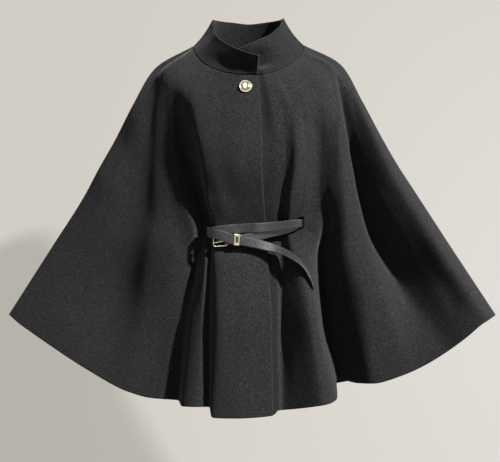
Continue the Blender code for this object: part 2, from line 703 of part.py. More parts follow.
def rounded_curve(at, values, places):
    """A smooth curve that may swing past its measurements, as a bent strap does."""
    slope = np.zeros_like(values)
    before = np.diff(at)[:-1, None]
    after = np.diff(at)[1:, None]
    rise_before = (values[1:-1] - values[:-2]) / before
    rise_after = (values[2:] - values[1:-1]) / after
    slope[1:-1] = (rise_before * after + rise_after * before) / (before + after)
    slope[0] = (values[1] - values[0]) / (at[1] - at[0])
    slope[-1] = (values[-1] - values[-2]) / (at[-1] - at[-2])
    left = np.clip(np.searchsorted(at, places, side="right") - 1, 0, len(at) - 2)
    width = (at[left + 1] - at[left])[:, None]
    share = ((places - at[left])[:, None]) / width
    square = share * share
    cube = square * share
    return (
        (2 * cube - 3 * square + 1) * values[left]
        + (cube - 2 * square + share) * width * slope[left]
        + (3 * square - 2 * cube) * values[left + 1]
        + (cube - square) * width * slope[left + 1]
    )


def strap(name, table, painted):
    """A flat strap along a path."""
    path = even_path([row[1:] for row in table], STRAP_STEP)
    centre = path[:, :3]
    lean = np.radians(path[:, 3])[:, None]
    half = (STRAP_WIDTH / 2 * path[:, 4])[:, None]
    along = np.gradient(centre, axis=0)
    along = along / np.linalg.norm(along, axis=1, keepdims=True)
    up = np.array([0.0, 0.0, 1.0]) - along[:, 2:3] * along
    up = up / np.linalg.norm(up, axis=1, keepdims=True)
    face = np.cross(up, along)
    wide = up * np.cos(lean) + face * np.sin(lean)
    thick = np.cross(wide, along) * (STRAP_THICK / 2)
    corners = [
        centre + wide * half - thick,
        centre + wide * half + thick,
        centre - wide * half + thick,
        centre - wide * half - thick,
    ]
    rings = np.stack(corners, axis=1)
    count = len(centre)
    faces = [(0, 1, 2, 3)]
    for i in range(count - 1):
        for k in range(4):
            after = (k + 1) % 4
            low = 4 * i
            high = low + 4
            faces.append((low + after, low + k, high + k, high + after))
    last = 4 * (count - 1)
    faces.append((last + 3, last + 2, last + 1, last))
    made = body(name, rings.reshape(-1, 3), faces, painted)
    for face_made in made.data.polygons:
        face_made.use_smooth = False
    return made


def tube(name, centre, wire, closed, painted):
    """Round wire along a path of points."""
    centre = np.asarray(centre, float)
    if closed:
        along = np.roll(centre, -1, axis=0) - np.roll(centre, 1, axis=0)
    else:
        along = np.gradient(centre, axis=0)
    along = along / np.linalg.norm(along, axis=1, keepdims=True)
    depth = np.array([0.0, 1.0, 0.0]) - along[:, 1:2] * along
    depth = depth / np.linalg.norm(depth, axis=1, keepdims=True)
    side = np.cross(along, depth)
    points = []
    for k in range(WIRE_SIDES):
        turn = 2 * np.pi * k / WIRE_SIDES
        points.append(centre + wire * (side * np.cos(turn) + depth * np.sin(turn)))
    points = np.stack(points, axis=1)
    count = len(centre)
    faces = []
    for i in range(count if closed else count - 1):
        low = i * WIRE_SIDES
        high = ((i + 1) % count) * WIRE_SIDES
        for k in range(WIRE_SIDES):
            after = (k + 1) % WIRE_SIDES
            faces.append((low + after, low + k, high + k, high + after))
    if not closed:
        faces.append(tuple(range(WIRE_SIDES)))
        faces.append(tuple(reversed(range((count - 1) * WIRE_SIDES, count * WIRE_SIDES))))
    return body(name, points.reshape(-1, 3), faces, painted)


def rounded_rectangle(half_wide, half_high, corner):
    """Points once round a rectangle with round corners, in X and Z."""
    points = []
    for turn, x, z in ((0, 1, 1), (90, -1, 1), (180, -1, -1), (270, 1, -1)):
        for step in range(FRAME_CORNER_STEPS + 1):
            angle = np.radians(turn + 90 * step / FRAME_CORNER_STEPS)
            points.append(
                (
                    x * (half_wide - corner) + corner * np.cos(angle),
                    z * (half_high - corner) + corner * np.sin(angle),
                )
            )
    return np.array(points)


def turned_about_y(points, degrees):
    angle = np.radians(degrees)
    x = points[:, 0] * np.cos(angle) + points[:, 2] * np.sin(angle)
    z = -points[:, 0] * np.sin(angle) + points[:, 2] * np.cos(angle)
    return np.stack([x, points[:, 1], z], axis=1)


def turned_about_z(points, degrees):
    angle = np.radians(degrees)
    x = points[:, 0] * np.cos(angle) - points[:, 1] * np.sin(angle)
    y = points[:, 0] * np.sin(angle) + points[:, 1] * np.cos(angle)
    return np.stack([x, y, points[:, 2]], axis=1)


def buckle_frame(painted):
    flat = rounded_rectangle(FRAME_HALF_WIDTH, FRAME_HALF_HEIGHT, FRAME_CORNER)
    path = np.stack([flat[:, 0], np.zeros(len(flat)), flat[:, 1]], axis=1)
    path = turned_about_z(turned_about_y(path, FRAME_ROLL), FRAME_TURN)
    return tube("buckle_frame", path + np.array(FRAME_CENTRE), FRAME_WIRE, True, painted)


def buckle_prong(painted):
    ends = np.array([PRONG_FROM, PRONG_MIDDLE, PRONG_TO], float)
    path = curve((0.0, 0.5, 1.0), ends, np.linspace(0.0, 1.0, 9))
    return tube("buckle_prong", path, PRONG_WIRE, False, painted)


def keeper(painted):
    """A flat metal loop round the two straps."""
    half_deep = KEEPER_INNER[0] / 2
    half_high = KEEPER_INNER[1] / 2
    inner = rounded_rectangle(half_deep, half_high, KEEPER_CORNER)
    outer = rounded_rectangle(
        half_deep + KEEPER_WALL, half_high + KEEPER_WALL, KEEPER_CORNER + KEEPER_WALL
    )
    points = []
    for end in (-KEEPER_LENGTH / 2, KEEPER_LENGTH / 2):
        for ring in (outer, inner):
            for deep, high in ring:
                points.append((end, deep, high))
    points = turned_about_y(np.array(points), KEEPER_ROLL) + np.array(KEEPER_CENTRE)
    count = len(inner)
    faces = []
    for k in range(count):
        after = (k + 1) % count
        near_out, near_in = k, count + k
        near_out_after, near_in_after = after, count + after
        far_out, far_in = 2 * count + k, 3 * count + k
        far_out_after, far_in_after = 2 * count + after, 3 * count + after
        faces.append((near_out, near_out_after, far_out_after, far_out))
        faces.append((near_in_after, near_in, far_in, far_in_after))
        faces.append((near_out_after, near_out, near_in, near_in_after))
        faces.append((far_out, far_out_after, far_in_after, far_in))
    return body("keeper", points, faces, painted)


def clear_scene():
    for existing in list(bpy.data.objects):
        bpy.data.objects.remove(existing, do_unlink=True)


def main():
    clear_scene()
    wool_right = material("wool_front_right", WOOL_BASE, 0.95, 0.0)
    wool_left = material("wool_front_left", WOOL_BASE, 0.95, 0.0)
    wool_back = material("wool_back", WOOL_BASE, 0.95, 0.0)
    wool_collar = material("wool_collar", WOOL_DARK, 0.95, 0.0)
    leather = material("belt_leather", LEATHER_BASE, 0.42, 0.0)
    button_metal = material("button_metal", METAL_BASE, 0.22, 1.0)
    frame_metal = material("frame_metal", METAL_BASE, 0.2, 1.0)
    prong_metal = material("prong_metal", METAL_BASE, 0.2, 1.0)
    keeper_metal = material("keeper_metal", METAL_BASE, 0.2, 1.0)

    rows = np.array(ROWS_ABOVE_SLITS + ROWS_AT_SLITS + ROWS_BELOW_SLITS)
    right_slit = [
        right_place(RIGHT_SLIT_FOLDS[0])
        + share * (right_place(RIGHT_SLIT_FOLDS[1]) - right_place(RIGHT_SLIT_FOLDS[0]))
        for share in RIGHT_SLIT_SHARE
    ]
    left_slit = [
        left_place(LEFT_SLIT_FOLDS[0])
        + share * (left_place(LEFT_SLIT_FOLDS[1]) - left_place(LEFT_SLIT_FOLDS[0]))
        for share in LEFT_SLIT_SHARE
    ]
    right_columns = between(CLOSING, EDGE_RIGHT, right_slit)
    back_columns = between(EDGE_RIGHT, EDGE_LEFT)
    left_columns = between(EDGE_LEFT, UNDER_EDGE, left_slit)
    right_opening = (right_slit, RIGHT_SLIT_ROWS)
    left_opening = (left_slit, LEFT_SLIT_ROWS)
    cloth_panel("front_right", rows, right_columns, wool_right, ("last",), *right_opening)
    cloth_panel("front_left", rows, left_columns, wool_left, ("first",), *left_opening)
    cloth_panel("back", rows, back_columns, wool_back, ("first", "last"))
    neck_columns = np.concatenate([right_columns, back_columns[1:], left_columns[1:]])
    collar_wall(neck_columns, wool_collar)
    button(button_metal)
    strap("belt", BELT_PATH, leather)
    buckle_frame(frame_metal)
    buckle_prong(prong_metal)
    keeper(keeper_metal)


main()
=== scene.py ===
"""Looks of the belted wool cape: fine cloth shells, leather belt, metal fittings, pale studio.

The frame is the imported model's: metres with Z up, the front facing -Y. Tables and sizes of the
garment are in mm, those of camera and stage in metres.
"""

import math

import bpy
import numpy as np
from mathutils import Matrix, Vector


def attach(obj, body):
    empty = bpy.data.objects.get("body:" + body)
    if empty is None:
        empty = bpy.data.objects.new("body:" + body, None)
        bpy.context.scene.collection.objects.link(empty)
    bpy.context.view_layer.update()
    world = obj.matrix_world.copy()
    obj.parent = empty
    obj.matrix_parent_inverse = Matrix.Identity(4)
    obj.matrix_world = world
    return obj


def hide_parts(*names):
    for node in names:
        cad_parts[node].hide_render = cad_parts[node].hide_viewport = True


MM = 0.001

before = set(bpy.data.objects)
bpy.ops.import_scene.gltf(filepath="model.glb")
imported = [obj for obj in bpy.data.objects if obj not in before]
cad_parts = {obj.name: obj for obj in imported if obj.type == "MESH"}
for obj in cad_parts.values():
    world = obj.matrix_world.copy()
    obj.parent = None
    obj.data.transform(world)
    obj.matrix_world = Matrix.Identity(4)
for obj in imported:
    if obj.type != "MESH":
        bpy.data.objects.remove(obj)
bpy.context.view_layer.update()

# Camera, worked out from the photograph: level, looking along +Y
CAMERA_AT = (0.003, -2.8, -0.372)
CAMERA_LENS = 100.8
CAMERA_SENSOR = 36.0

# Light. Columns of the suns: turn to the right of the view, height (degrees), strength
SUNS = {"key": (55.0, 36.0, 5.5), "back_light": (205.0, 32.0, 2.2)}
SUN_ANGLE = 2.6  # softness (degrees)
SUN_COLOUR = (1.0, 0.985, 0.96)
AMBIENT = (0.108, 0.108, 0.111)
PALE_AIR = (0.62, 0.6, 0.57)  # what is seen past the stage
WALL_BEHIND = 0.37
WALL_SLANT = -0.06  # how fast the wall comes forward towards the right
FLOOR_BELOW = -1.4
STAGE_FAR = 6.0  # reach of the wall and the floor to each side and up

# Cloth
CLOTH_WALL = 3.0  # thick fulled wool
COLLAR_WALL = 4.0  # two plies of the same wool
SEAM_GAP = 0.3  # left open between front and back
NECK_GAP = 0.25  # left open below the collar
SEWN_RIM = 0.3  # roundness of the edges sewn together
LAP_STEP = 4.7  # how far the under front lies behind the top front

# Neck seam
NECK_HALF_WIDTH = 110.0
NECK_FRONT = 85.0
NECK_FRONT_DROP = 70.0
NECK_BACK_DROP = 8.0

# Lengths of cloth, as heights on the centre lines
FRONT_HEM_Z = -725.0
BACK_HEM_Z = -712.0

# Heights at which the folds are measured, as shares of the cloth from neck seam to hem
LEVELS = {
    "neck": 0.0,
    "shoulder": 0.13,
    "chest": 0.26,
    "ribs": 0.38,
    "waist": 0.475,
    "hip": 0.57,
    "thigh": 0.75,
    "hem": 1.0,
}

# How round each level runs in front view: 1 is a half ellipse, less is a flatter arc
ARC_AT = (0.0, 0.13, 0.3, 1.0)
ARC_ROUNDNESS = (1.0, 0.93, 0.8, 0.71)

# Outer edge of the cape, where front and back are sewn together: height at each level, mm
EDGE_HEIGHT = {
    "right": (-2, -46, -121, -191, -246, -301, -401, -540),
    "left": (0, -40, -116, -187, -242, -295, -396, -536),
}

# Right front, the one on top, from its closing edge to the outer edge.
# Columns: across (mm, X) at neck, shoulder, chest, ribs, waist, hip, thigh, hem
RIGHT_ACROSS = {
    "closing_edge": (18, 24, 26, 30, 36, 39, 44, 47),
    "button_line": (-11, -14, -16, -16, -15, -18, -16, -16),
    "front_roll": (-40, -53, -55, -55, -57, -57, -55, -54),
    "flank": (-69, -104, -90, -78, -66, -70, -71, -70),
    "crease": (-77, -114, -101, -84, -71, -75, -77, -76),
    "pleat": (-85, -123, -116, -94, -80, -83, -90, -98),
    "pleat_side": (-91, -131, -126, -105, -90, -95, -110, -128),
    "valley": (-96, -138, -135, -117, -99, -103, -126, -138),
    "wing_inner": (-101, -148, -145, -133, -108, -113, -142, -167),
    "wing_ridge": (-105, -161, -156, -147, -138, -139, -163, -195),
    "wing_base": (-107, -170, -180, -180, -178, -186, -205, -240),
    "wing_outer": (-108.5, -175, -196, -203, -210, -225, -252, -320),
    "wing_mid": (-109.4, -178, -212, -246, -274, -302, -357, -409),
    "arm_round": (-109.8, -180, -223, -256, -286, -317, -381, -466),
    "outer_edge": (-110, -186, -230, -267, -298, -328, -393, -483),
}

# The same folds. Columns: forward (mm, Y, negative is forward) from shoulder to hem, then hem lift
RIGHT_FORWARD = {
    "closing_edge": (-105, -121, -107, -92, -109, -138, -143, 1),
    "button_line": (-108, -121, -103, -90, -115, -140, -146, -3),
    "front_roll": (-103, -114, -99, -87, -110, -136, -142, -5),
    "flank": (-91, -104, -97, -83, -99, -121, -137, -5),
    "crease": (-85, -82, -66, -66, -84, -108, -120, 12),
    "pleat": (-79, -60, -49, -58, -92, -111, -125, 10),
    "pleat_side": (-72, -52, -42, -55, -74, -99, -112, 5),
    "valley": (-65, -53, -55, -66, -58, -77, -80, 11),
    "wing_inner": (-57, -60, -65, -75, -68, -72, -79, 7),
    "wing_ridge": (-48, -54, -61, -65, -71, -66, -73, 2),
    "wing_base": (-40, -42, -48, -53, -60, -54, -64, 0),
    "wing_outer": (-32, -31, -33, -33, -34, -26, -35, 6),
    "wing_mid": (-23, -28, -20, -18, -12, -4, -4, 7),
    "arm_round": (-13, -24, -13, -13, -6, 3, 12, 1),
    "outer_edge": (-1, -15, -5, -3, 3, 12, 20, 0),
}

# Left front, the one beneath, from beside its closing edge to the outer edge. Columns as above
LEFT_ACROSS = {
    "strip": (30, 49, 55, 51, 50, 54, 55, 57),
    "strip_edge": (40, 65, 70, 67, 66, 63, 64, 66),
    "tuck": (48, 75, 79, 72, 70, 74, 84, 95),
    "bust_ridge": (58, 85, 92, 83, 79, 95, 116, 138),
    "bust_side": (69, 103, 113, 109, 108, 113, 128, 153),
    "bust_edge": (79, 121, 136, 132, 137, 128, 139, 168),
    "gap_floor": (87, 136, 150, 146, 152, 139, 147, 176),
    "gap_side": (92, 148, 160, 160, 167, 165, 188, 212),
    "sleeve_ridge": (96, 156, 170, 177, 186, 192, 226, 246),
    "sleeve_side": (99, 162, 178, 192, 202, 219, 258, 298),
    "sleeve_edge": (102, 167, 184, 200, 213, 231, 284, 342),
    "arm_floor": (104.5, 171, 190, 205, 219, 238, 297, 383),
    "arm_slope": (107, 174, 205, 228, 252, 281, 346, 422),
    "arm_crest": (109.2, 177, 216, 250, 277, 309, 373, 457),
    "outer_edge": (110, 183, 225, 262, 293, 327, 392, 484),
}

LEFT_FORWARD = {
    "strip": (-108, -119, -104, -89, -107, -133, -138, 9),
    "strip_edge": (-108, -119, -103, -87, -102, -126, -134, 9),
    "tuck": (-109, -122, -108, -91, -109, -143, -148, 10),
    "bust_ridge": (-107, -129, -116, -99, -125, -163, -167, 11),
    "bust_side": (-102, -118, -111, -98, -117, -160, -164, 11),
    "bust_edge": (-96, -109, -106, -97, -100, -140, -150, 15),
    "gap_floor": (-89, -113, -111, -91, -62, -28, -32, 40),
    "gap_side": (-80, -115, -119, -109, -89, -69, -58, 23),
    "sleeve_ridge": (-71, -115, -125, -118, -103, -87, -78, 13),
    "sleeve_side": (-62, -111, -117, -111, -96, -82, -80, 7),
    "sleeve_edge": (-55, -104, -108, -101, -85, -60, -79, 5),
    "arm_floor": (-47, -50, -40, -38, -34, -46, -80, 6),
    "arm_slope": (-40, -57, -60, -66, -70, -76, -89, 9),
    "arm_crest": (-31, -59, -72, -80, -86, -93, -94, 11),
    "outer_edge": (-12, -36, -44, -49, -52, -57, -60, 0),
}

# Back, from the right outer edge to the left one. Columns: place across at the shoulder and the hem
# (share of the half width), then how far the fold stands out (mm) at these shares of the cloth
BACK_FOLDS_AT = (0.0, 0.45, 1.0)
BACK_FOLDS = {
    "arm_back_right": (-0.97, -0.975, 0, 0, 0),
    "wing_back_right": (-0.86, -0.88, 0, 2, 6),
    "wing_valley_right": (-0.72, -0.74, 0, -5, -11),
    "wing_flute_right": (-0.57, -0.60, 0, 7, 15),
    "side_valley_right": (-0.43, -0.45, 0, -8, -14),
    "back_flute_right": (-0.29, -0.30, 0, 5, 13),
    "centre_valley": (-0.13, -0.12, 0, -4, -9),
    "centre_flute": (0.04, 0.05, 0, 4, 12),
    "back_valley_left": (0.20, 0.21, 0, -6, -13),
    "back_flute_left": (0.35, 0.37, 0, 8, 15),
    "side_valley_left": (0.50, 0.52, 0, -7, -15),
    "wing_flute_left": (0.65, 0.68, 0, 5, 10),
    "wing_valley_left": (0.80, 0.83, 0, -3, -7),
    "wing_back_left": (0.91, 0.925, 0, 1, 3),
    "arm_back_left": (0.972, 0.978, 0, 0, 0),
}

# Depth of the back on the centre line (mm) and the two roundnesses of its section, at each level
BACK_DEPTH = (75, 93, 109, 109, 107, 111, 124, 142)
BACK_SQUARENESS = (2.0, 2.2, 1.9, 1.7, 1.6, 1.6, 1.6, 1.6)
BACK_FULLNESS = (2.0, 1.7, 1.35, 1.2, 1.16, 1.14, 1.13, 1.12)

# Belt slits: top and foot of each, as shares from neck seam to hem
RIGHT_SLIT_ROWS = (0.453, 0.492)
LEFT_SLIT_ROWS = (0.443, 0.478)

# Belt slits: columns that bound each, as shares of the way between two folds
RIGHT_SLIT_FOLDS = ("flank", "crease")
RIGHT_SLIT_SHARE = (0.0, 0.72)
LEFT_SLIT_FOLDS = ("bust_side", "bust_ridge")
LEFT_SLIT_SHARE = (0.05, 0.42)
SLIT_MARGIN = 0.3  # other columns nearer than this share of a column's width give way

# Collar: top edge from the top end round the neck to the under end.
# Columns: place along the neck seam (share), X, Y, Z (mm)
COLLAR_TOP = {
    "top_end": (0.0, 22, -105, -34),
    "top_front": (0.06, 1, -102, -28),
    "top_rise": (0.12, -19, -91, -19.5),
    "right_front": (0.175, -44, -69, -4),
    "right_turn": (0.225, -63, -44, 14),
    "right_ahead": (0.26, -68.5, -22, 30),
    "right_side": (0.3, -72, 4, 52),
    "right_back": (0.37, -62, 35, 54),
    "back_right": (0.44, -36, 55, 53.5),
    "back": (0.5, 0, 62, 50.5),
    "back_left": (0.56, 36, 55, 53.5),
    "left_back": (0.63, 61, 35, 55),
    "left_side": (0.7, 70, 4, 55),
    "left_ahead": (0.745, 65, -22, 39),
    "left_turn": (0.785, 54, -40, 25),
    "left_front": (0.83, 40, -54, 13),
    "under_rise": (0.885, 19, -66, 2),
    "under_front": (0.94, -6, -72.5, -10),
    "under_end": (1.0, -26, -69.5, -18),
}
COLLAR_BOW = 2.2  # how far the middle of the collar dips towards the neck
COLLAR_FLAT_END = 0.14  # share of the seam over which the dip fades out towards the top end
COLLAR_TURN = 0.2  # share of the height over which its face turns from the cape's to its own
# Dents of the collar. Columns: first and last share of the neck seam, then as for the creases below
COLLAR_CREASES = {
    "band_dent": (0.0, 0.3, -96, -24, -34, -64, 60, -68, 15, -5),
    "lap_dent": (0.78, 1.0, 14, -10, 20, -36, 26, -60, 24, -16),
}

# Button: a rolled rim, a groove and a dome
BUTTON_X = -5.5
BUTTON_SHARE = 0.035  # place on the front, from neck seam to hem
BUTTON_RADIUS = 12.6
BUTTON_DOME = 4.8
BUTTON_STAND = 0.4  # how far it stands off the cloth
BUTTON_FOOT = ((1.6, 0.0), (0.6, 0.25), (0.0, 1.1))  # distance in from the edge, height
BUTTON_RIM = (1.25, 1.1)  # half width and half height of the rim
BUTTON_RIM_Z = 1.9
BUTTON_GROOVE = (2.95, 1.7)  # distance in from the edge, height
BUTTON_DOME_IN = 3.4
BUTTON_DOME_END = 0.97  # share of a quarter turn up to the last ring of the dome

# Belt strap
STRAP_WIDTH = 18.0
STRAP_THICK = 2.5
STRAP_EDGE = 1.1  # roundness of its edges
STRAP_CROWN = 0.06  # swell of its outer face, as a share of half the thickness
STRAP_INSET = 2.6  # how far in the flat of the faces begins, in rounded edges
STRAP_FINE_STEP = 2.0
HOLES_AT = (-38.7, 13.6, 38.7, 64.3)  # X of the holes punched in the tail
HOLE_RADIUS = 1.35
HOLE_SHARPNESS = 0.8  # share of the radius inside which a hole is fully dark
TAIL_FROM = -80.0  # X of the last turn before the tail

# Path of the belt, from the end sewn round the buckle bar to the free tip. Each point is X, Y, Z,
# then, where they aren't the usual ones, lean about the path (degrees) and share of the full width
BELT_PATH = {
    "sewn_end": (
        (-18, -99.6, -389), (-32, -99.4, -388.9),
    ),
    "round_the_bar": (
        (-41.6, -99.2, -388.7), (-45, -100.4, -388.6), (-46.3, -102.9, -388.6),
        (-45, -105.4, -388.6), (-41.6, -106.6, -388.7),
    ),
    "lower_strap": (
        (-26, -106.4, -388.8), (-8, -105.4, -387.3), (15, -102.8, -383), (35, -101, -377.2, -4),
        (58, -101.2, -371.9, -10), (74, -102.7, -367.8, -16), (86, -105.4, -363.2, -19, 0.97),
    ),
    "into_left_slit": (
        (94.8, -105, -359, -13, 0.92), (98.4, -100.4, -357.3, -4, 0.88),
        (98.9, -92, -357, 0, 0.9), (100.2, -84, -357.2),
    ),
    "first_round": (
        (106, -72, -358.2), (117, -47, -360.6), (124, 0, -364.6), (107, 47, -368),
        (60, 78, -370.2), (0, 88, -371.6), (-60, 78, -372.5), (-105, 46, -373), (-119, 2, -373),
        (-110, -18, -373), (-86, -38.5, -373), (-63, -53, -373),
    ),
    "out_of_right_slit": (
        (-55.6, -64.6, -373), (-58.6, -74.2, -373), (-67.2, -79.2, -373), (-72, -81.6, -373),
        (-74.2, -86.2, -373), (-72, -90.8, -372.9),
    ),
    "upper_strap": (
        (-64.5, -93.6, -372.2), (-50, -96, -370), (-20, -99, -367.2), (0, -103.2, -366.2),
        (15, -107.2, -365.8), (35, -106, -364.6, -3), (58, -107.4, -362.2, -9),
        (76, -110.4, -360.2, -16), (90, -111.6, -358.4, -19, 0.94),
    ),
    "into_left_slit_again": (
        (99.4, -109.2, -357.4, -12, 0.88), (103, -102.4, -357, -4, 0.86),
        (103.4, -93, -357, 0, 0.9), (105.6, -84.6, -357.2),
    ),
    "second_round": (
        (113, -71, -358.2), (123.5, -47, -360.6), (130, 0, -364.6), (112, 50, -368),
        (62, 84, -370.2), (0, 94.5, -371.6), (-62, 84, -372.5), (-110, 50, -373), (-125, 0, -373),
        (-113, -23, -373), (-89, -43.5, -373), (-67.4, -57, -373),
    ),
    "out_of_right_slit_again": (
        (-62, -65.4, -373), (-63, -70.2, -373), (-68.6, -74.6, -373), (-75.2, -77, -373.2),
        (-79.6, -84.8, -373.6), (-77.8, -95.6, -374.6),
    ),
    "over_the_buckle": (
        (-69.5, -103.2, -376.6), (-52, -108.8, -380.4), (-38, -110.6, -384.9),
        (-22, -110.8, -389),
    ),
    "free_tail": (
        (0, -110.6, -393, 3), (16, -110, -396.4, 9), (32, -110.4, -400.6, 20),
        (51, -113, -405.8, 42), (70, -119.6, -412.7, 58), (84, -127.2, -420.8, 66, 0.92),
        (97, -134.6, -430.4, 72, 0.8), (105, -136.2, -438.7, 76, 0.7),
        (112.5, -137.4, -448.4, 79, 0.62), (118, -138.4, -459.4, 81, 0.55),
        (123, -139.4, -472, 83, 0.48), (124.4, -139.8, -478, 84, 0.38),
        (125, -140, -481.5, 84, 0.2),
    ),
}
BELT_USUAL = (0.0, 1.0)

# Buckle: a rounded frame of round wire, its prong, and the keeper loop
FRAME_CENTRE = (-54.9, -101.0, -388.5)
FRAME_HALF_WIDTH = 12.8
FRAME_HALF_HEIGHT = 12.4
FRAME_CORNER = 3.2
FRAME_WIRE = 1.25
FRAME_ROLL = -4.0  # degrees about Y
FRAME_TURN = -8.0  # degrees about Z, so that the far bar lies nearer the cloth
PRONG_WIRE = 0.95
PRONG_END_WIRE = 0.55  # share of the full wire at either end
PRONG_ENDS = (0.08, 0.12)  # shares of the length over which the root and the tip narrow
PRONG_FROM = (-48.2, -104.2, -391.2)
PRONG_MIDDLE = (-58.0, -103.4, -393.2)
PRONG_TO = (-70.5, -102.0, -395.4)
KEEPER_CENTRE = (-22.3, -105.3, -388.8)
KEEPER_LENGTH = 10.8
KEEPER_INNER = (14.6, 21.0)  # depth, height
KEEPER_WALL = 1.0
KEEPER_CORNER = 1.6
KEEPER_ROLL = 4.0
KEEPER_WINDOW = (4.2, 4.0, 12.5)
KEEPER_WINDOW_CORNER = 0.8
KEEPER_BEVEL = 0.3

# Stage
WALL_COLOUR = (0.232, 0.226, 0.214)
GLOW_CENTRE = (0.775, -0.56)  # X and Z of the brightest place on the wall
GLOW_REACH = 1.25
GLOW_FAR = (0.452, 0.43, 0.388)
GLOW_NEAR = (0.57, 0.55, 0.515)

# Large pale cards that only polished things mirror
CARD_COLOUR = (1.0, 0.985, 0.95)
# Columns: X, Y, Z of the centre, width, height, turn about X (degrees), brightness
CARDS = {
    "card_above": (-0.2, -1.7, 1.52, 1.0, 2.0, 40.0, 7.0),
    "card_ahead": (0.5, -4.2, 0.3, 3.2, 2.4, 90.0, 0.75),
}

# Creases of the cloth, each along a bent line in front view. Columns: X, Z of its start, its middle
# and its end (mm), half width, then height (mm, negative is a trough)
RIGHT_CREASES = {
    "panel_ridge": (-74, -226, -60, -292, -38, -368, 15, 3.0),
    "chest_drag": (-30, -95, -52, -150, -64, -215, 17, -1.6),
    "shoulder_drag": (-84, -62, -120, -96, -140, -152, 15, -1.8),
    "wing_hollow": (-196, -170, -232, -300, -262, -452, 30, -2.6),
    "wing_soft": (-236, -205, -290, -330, -352, -498, 34, 2.4),
    "hem_hollow": (-322, -452, -348, -500, -366, -548, 20, -2.2),
    "hip_soft": (-20, -470, -34, -560, -22, -655, 22, -1.5),
}
LEFT_CREASES = {
    "chest_drag": (62, -92, 74, -150, 70, -205, 14, -1.5),
    "shoulder_drag": (84, -60, 126, -92, 150, -150, 16, -1.9),
    "slit_pull": (104, -346, 122, -338, 142, -316, 7, -1.6),
    "slit_pull_low": (106, -366, 124, -372, 140, -392, 6, -1.3),
    "wing_soft": (232, -268, 288, -372, 352, -470, 30, 2.3),
    "wing_hollow": (196, -330, 238, -430, 300, -520, 26, -2.0),
    "hem_hollow": (372, -452, 396, -498, 410, -548, 18, -2.3),
}
BACK_CREASES = {
    "nape_drag": (-24, -30, -40, -80, -34, -150, 16, -1.6),
    "shoulder_drag_right": (-96, -48, -140, -92, -176, -170, 18, -2.2),
    "shoulder_drag_left": (92, -46, 132, -84, 158, -148, 15, -1.8),
    "waist_pull": (-70, -330, -20, -352, 34, -344, 13, -1.7),
    "waist_pull_low": (20, -398, 66, -410, 108, -386, 11, -1.4),
    "wing_hollow_right": (-214, -196, -262, -330, -330, -486, 30, -3.0),
    "wing_hollow_left": (196, -170, 262, -322, 322, -470, 26, -2.6),
    "hem_soft_right": (-130, -470, -148, -570, -142, -664, 24, 2.6),
    "hem_soft_left": (86, -500, 104, -590, 96, -682, 21, -2.4),
}

CREASE_FADE = 0.34  # share of a crease over which it fades out at either end

# Fineness
COLUMNS_PER_FOLD = 9
ROW_COUNT = 210
COLLAR_FINE_ROWS = 22
RIM_RINGS = 3
SOFTENING_PASSES = 2
CREASE_STEPS = 97
WIRE_FINE_SIDES = 20
BUTTON_FINE_SIDES = 96
SMALL_ROW = 0.004  # steps by which directions are measured, down the cloth and round it
SMALL_PLACE = 0.05

# Colours, linear
WOOL = (0.0285, 0.0285, 0.0303)
WOOL_SHADES = ((0.34, 0.4), (0.50, 0.95), (0.62, 1.85), (0.74, 2.9))  # place on the ramp, share
# The collar's wool is darkened all over to stand in for its shade: painted shade on the same cloth
COLLAR_PAINTED_SHADE = 0.77
LEATHER = (0.032, 0.032, 0.034)
LEATHER_GLOSS = 0.85
# The punched holes are not cut: each is painted near-black, a painted shade of the hole
HOLE_PAINTED_SHADE = (0.002, 0.002, 0.002, 1.0)
PALE_GOLD = (0.86, 0.78, 0.62)
BUTTON_TONE = 0.5
GOLD_MARKS = 0.12  # how much rougher the rubbed places are

# Grain. Columns: scale, detail, roughness, then bump strength and depth (m) where it has one
WOOL_FIBRES = (400.0, 3.0, 0.85)
WOOL_FELT = (900.0, 3.0, 0.7, 0.55, 0.0009)
WOOL_LUMPS = (150.0, 2.0, 0.5, 0.25, 0.0012)
LEATHER_CLOUD = (90.0, 3.0, 0.6)
LEATHER_CREASES = (260.0, 3.0, 0.6, 0.2, 0.0006)
LEATHER_PEBBLES = (1100.0, 0.25, 0.0004)  # scale, bump strength and depth only
GOLD_RUBBING = (700.0, 3.0, 0.6, 0.08, 0.0003)


# ---------------------------------------------------------------- materials


class Tree:
    """The nodes of a material or of the air, put together by name."""

    def __init__(self, owner):
        owner.use_nodes = True
        self.owner = owner
        self.nodes = owner.node_tree.nodes
        self.links = owner.node_tree.links

    def put(self, node, sockets):
        """Sets sockets, by name or number, to a constant or to another node's output."""
        for key, value in sockets.items():
            socket = node.inputs[key.replace("_", " ") if isinstance(key, str) else key]
            if isinstance(value, bpy.types.NodeSocket):
                self.links.new(value, socket)
            else:
                socket.default_value = value

    def add(self, kind, *numbered, **named):
        made = self.nodes.new("ShaderNode" + kind)
        self.put(made, dict(enumerate(numbered)))
        self.put(made, named)
        return made

    def finish(self, **sockets):
        self.put(self.nodes["Principled BSDF"], sockets)
        return self.owner

    def place(self):
        return self.add("TexCoord").outputs["Object"]

    def noise(self, place, grain):
        scale, detail, rough = grain[:3]
        made = self.add("TexNoise", Vector=place, Scale=scale, Detail=detail, Roughness=rough)
        return made.outputs["Fac"]

    def ramp(self, value, stops):
        made = self.add("ValToRGB", Fac=value)
        elements = made.color_ramp.elements
        for element, (position, colour) in zip(elements, (stops[0], stops[-1])):
            element.position = position
            element.color = (*colour, 1.0)
        for position, colour in stops[1:-1]:
            elements.new(position).color = (*colour, 1.0)
        return made.outputs["Color"]

    def bump(self, height, grain, **below):
        strength, distance = grain[-2:]
        made = self.add("Bump", Height=height, Strength=strength, Distance=distance, **below)
        return made.outputs["Normal"]

    def reckoned(self, kind, operation, first, second):
        made = self.add(kind, first, second)
        made.operation = operation
        return made.outputs["Value"]


def new_material(name):
    return Tree(bpy.data.materials.new(name))


def scaled(colour, factor):
    return tuple(channel * factor for channel in colour)


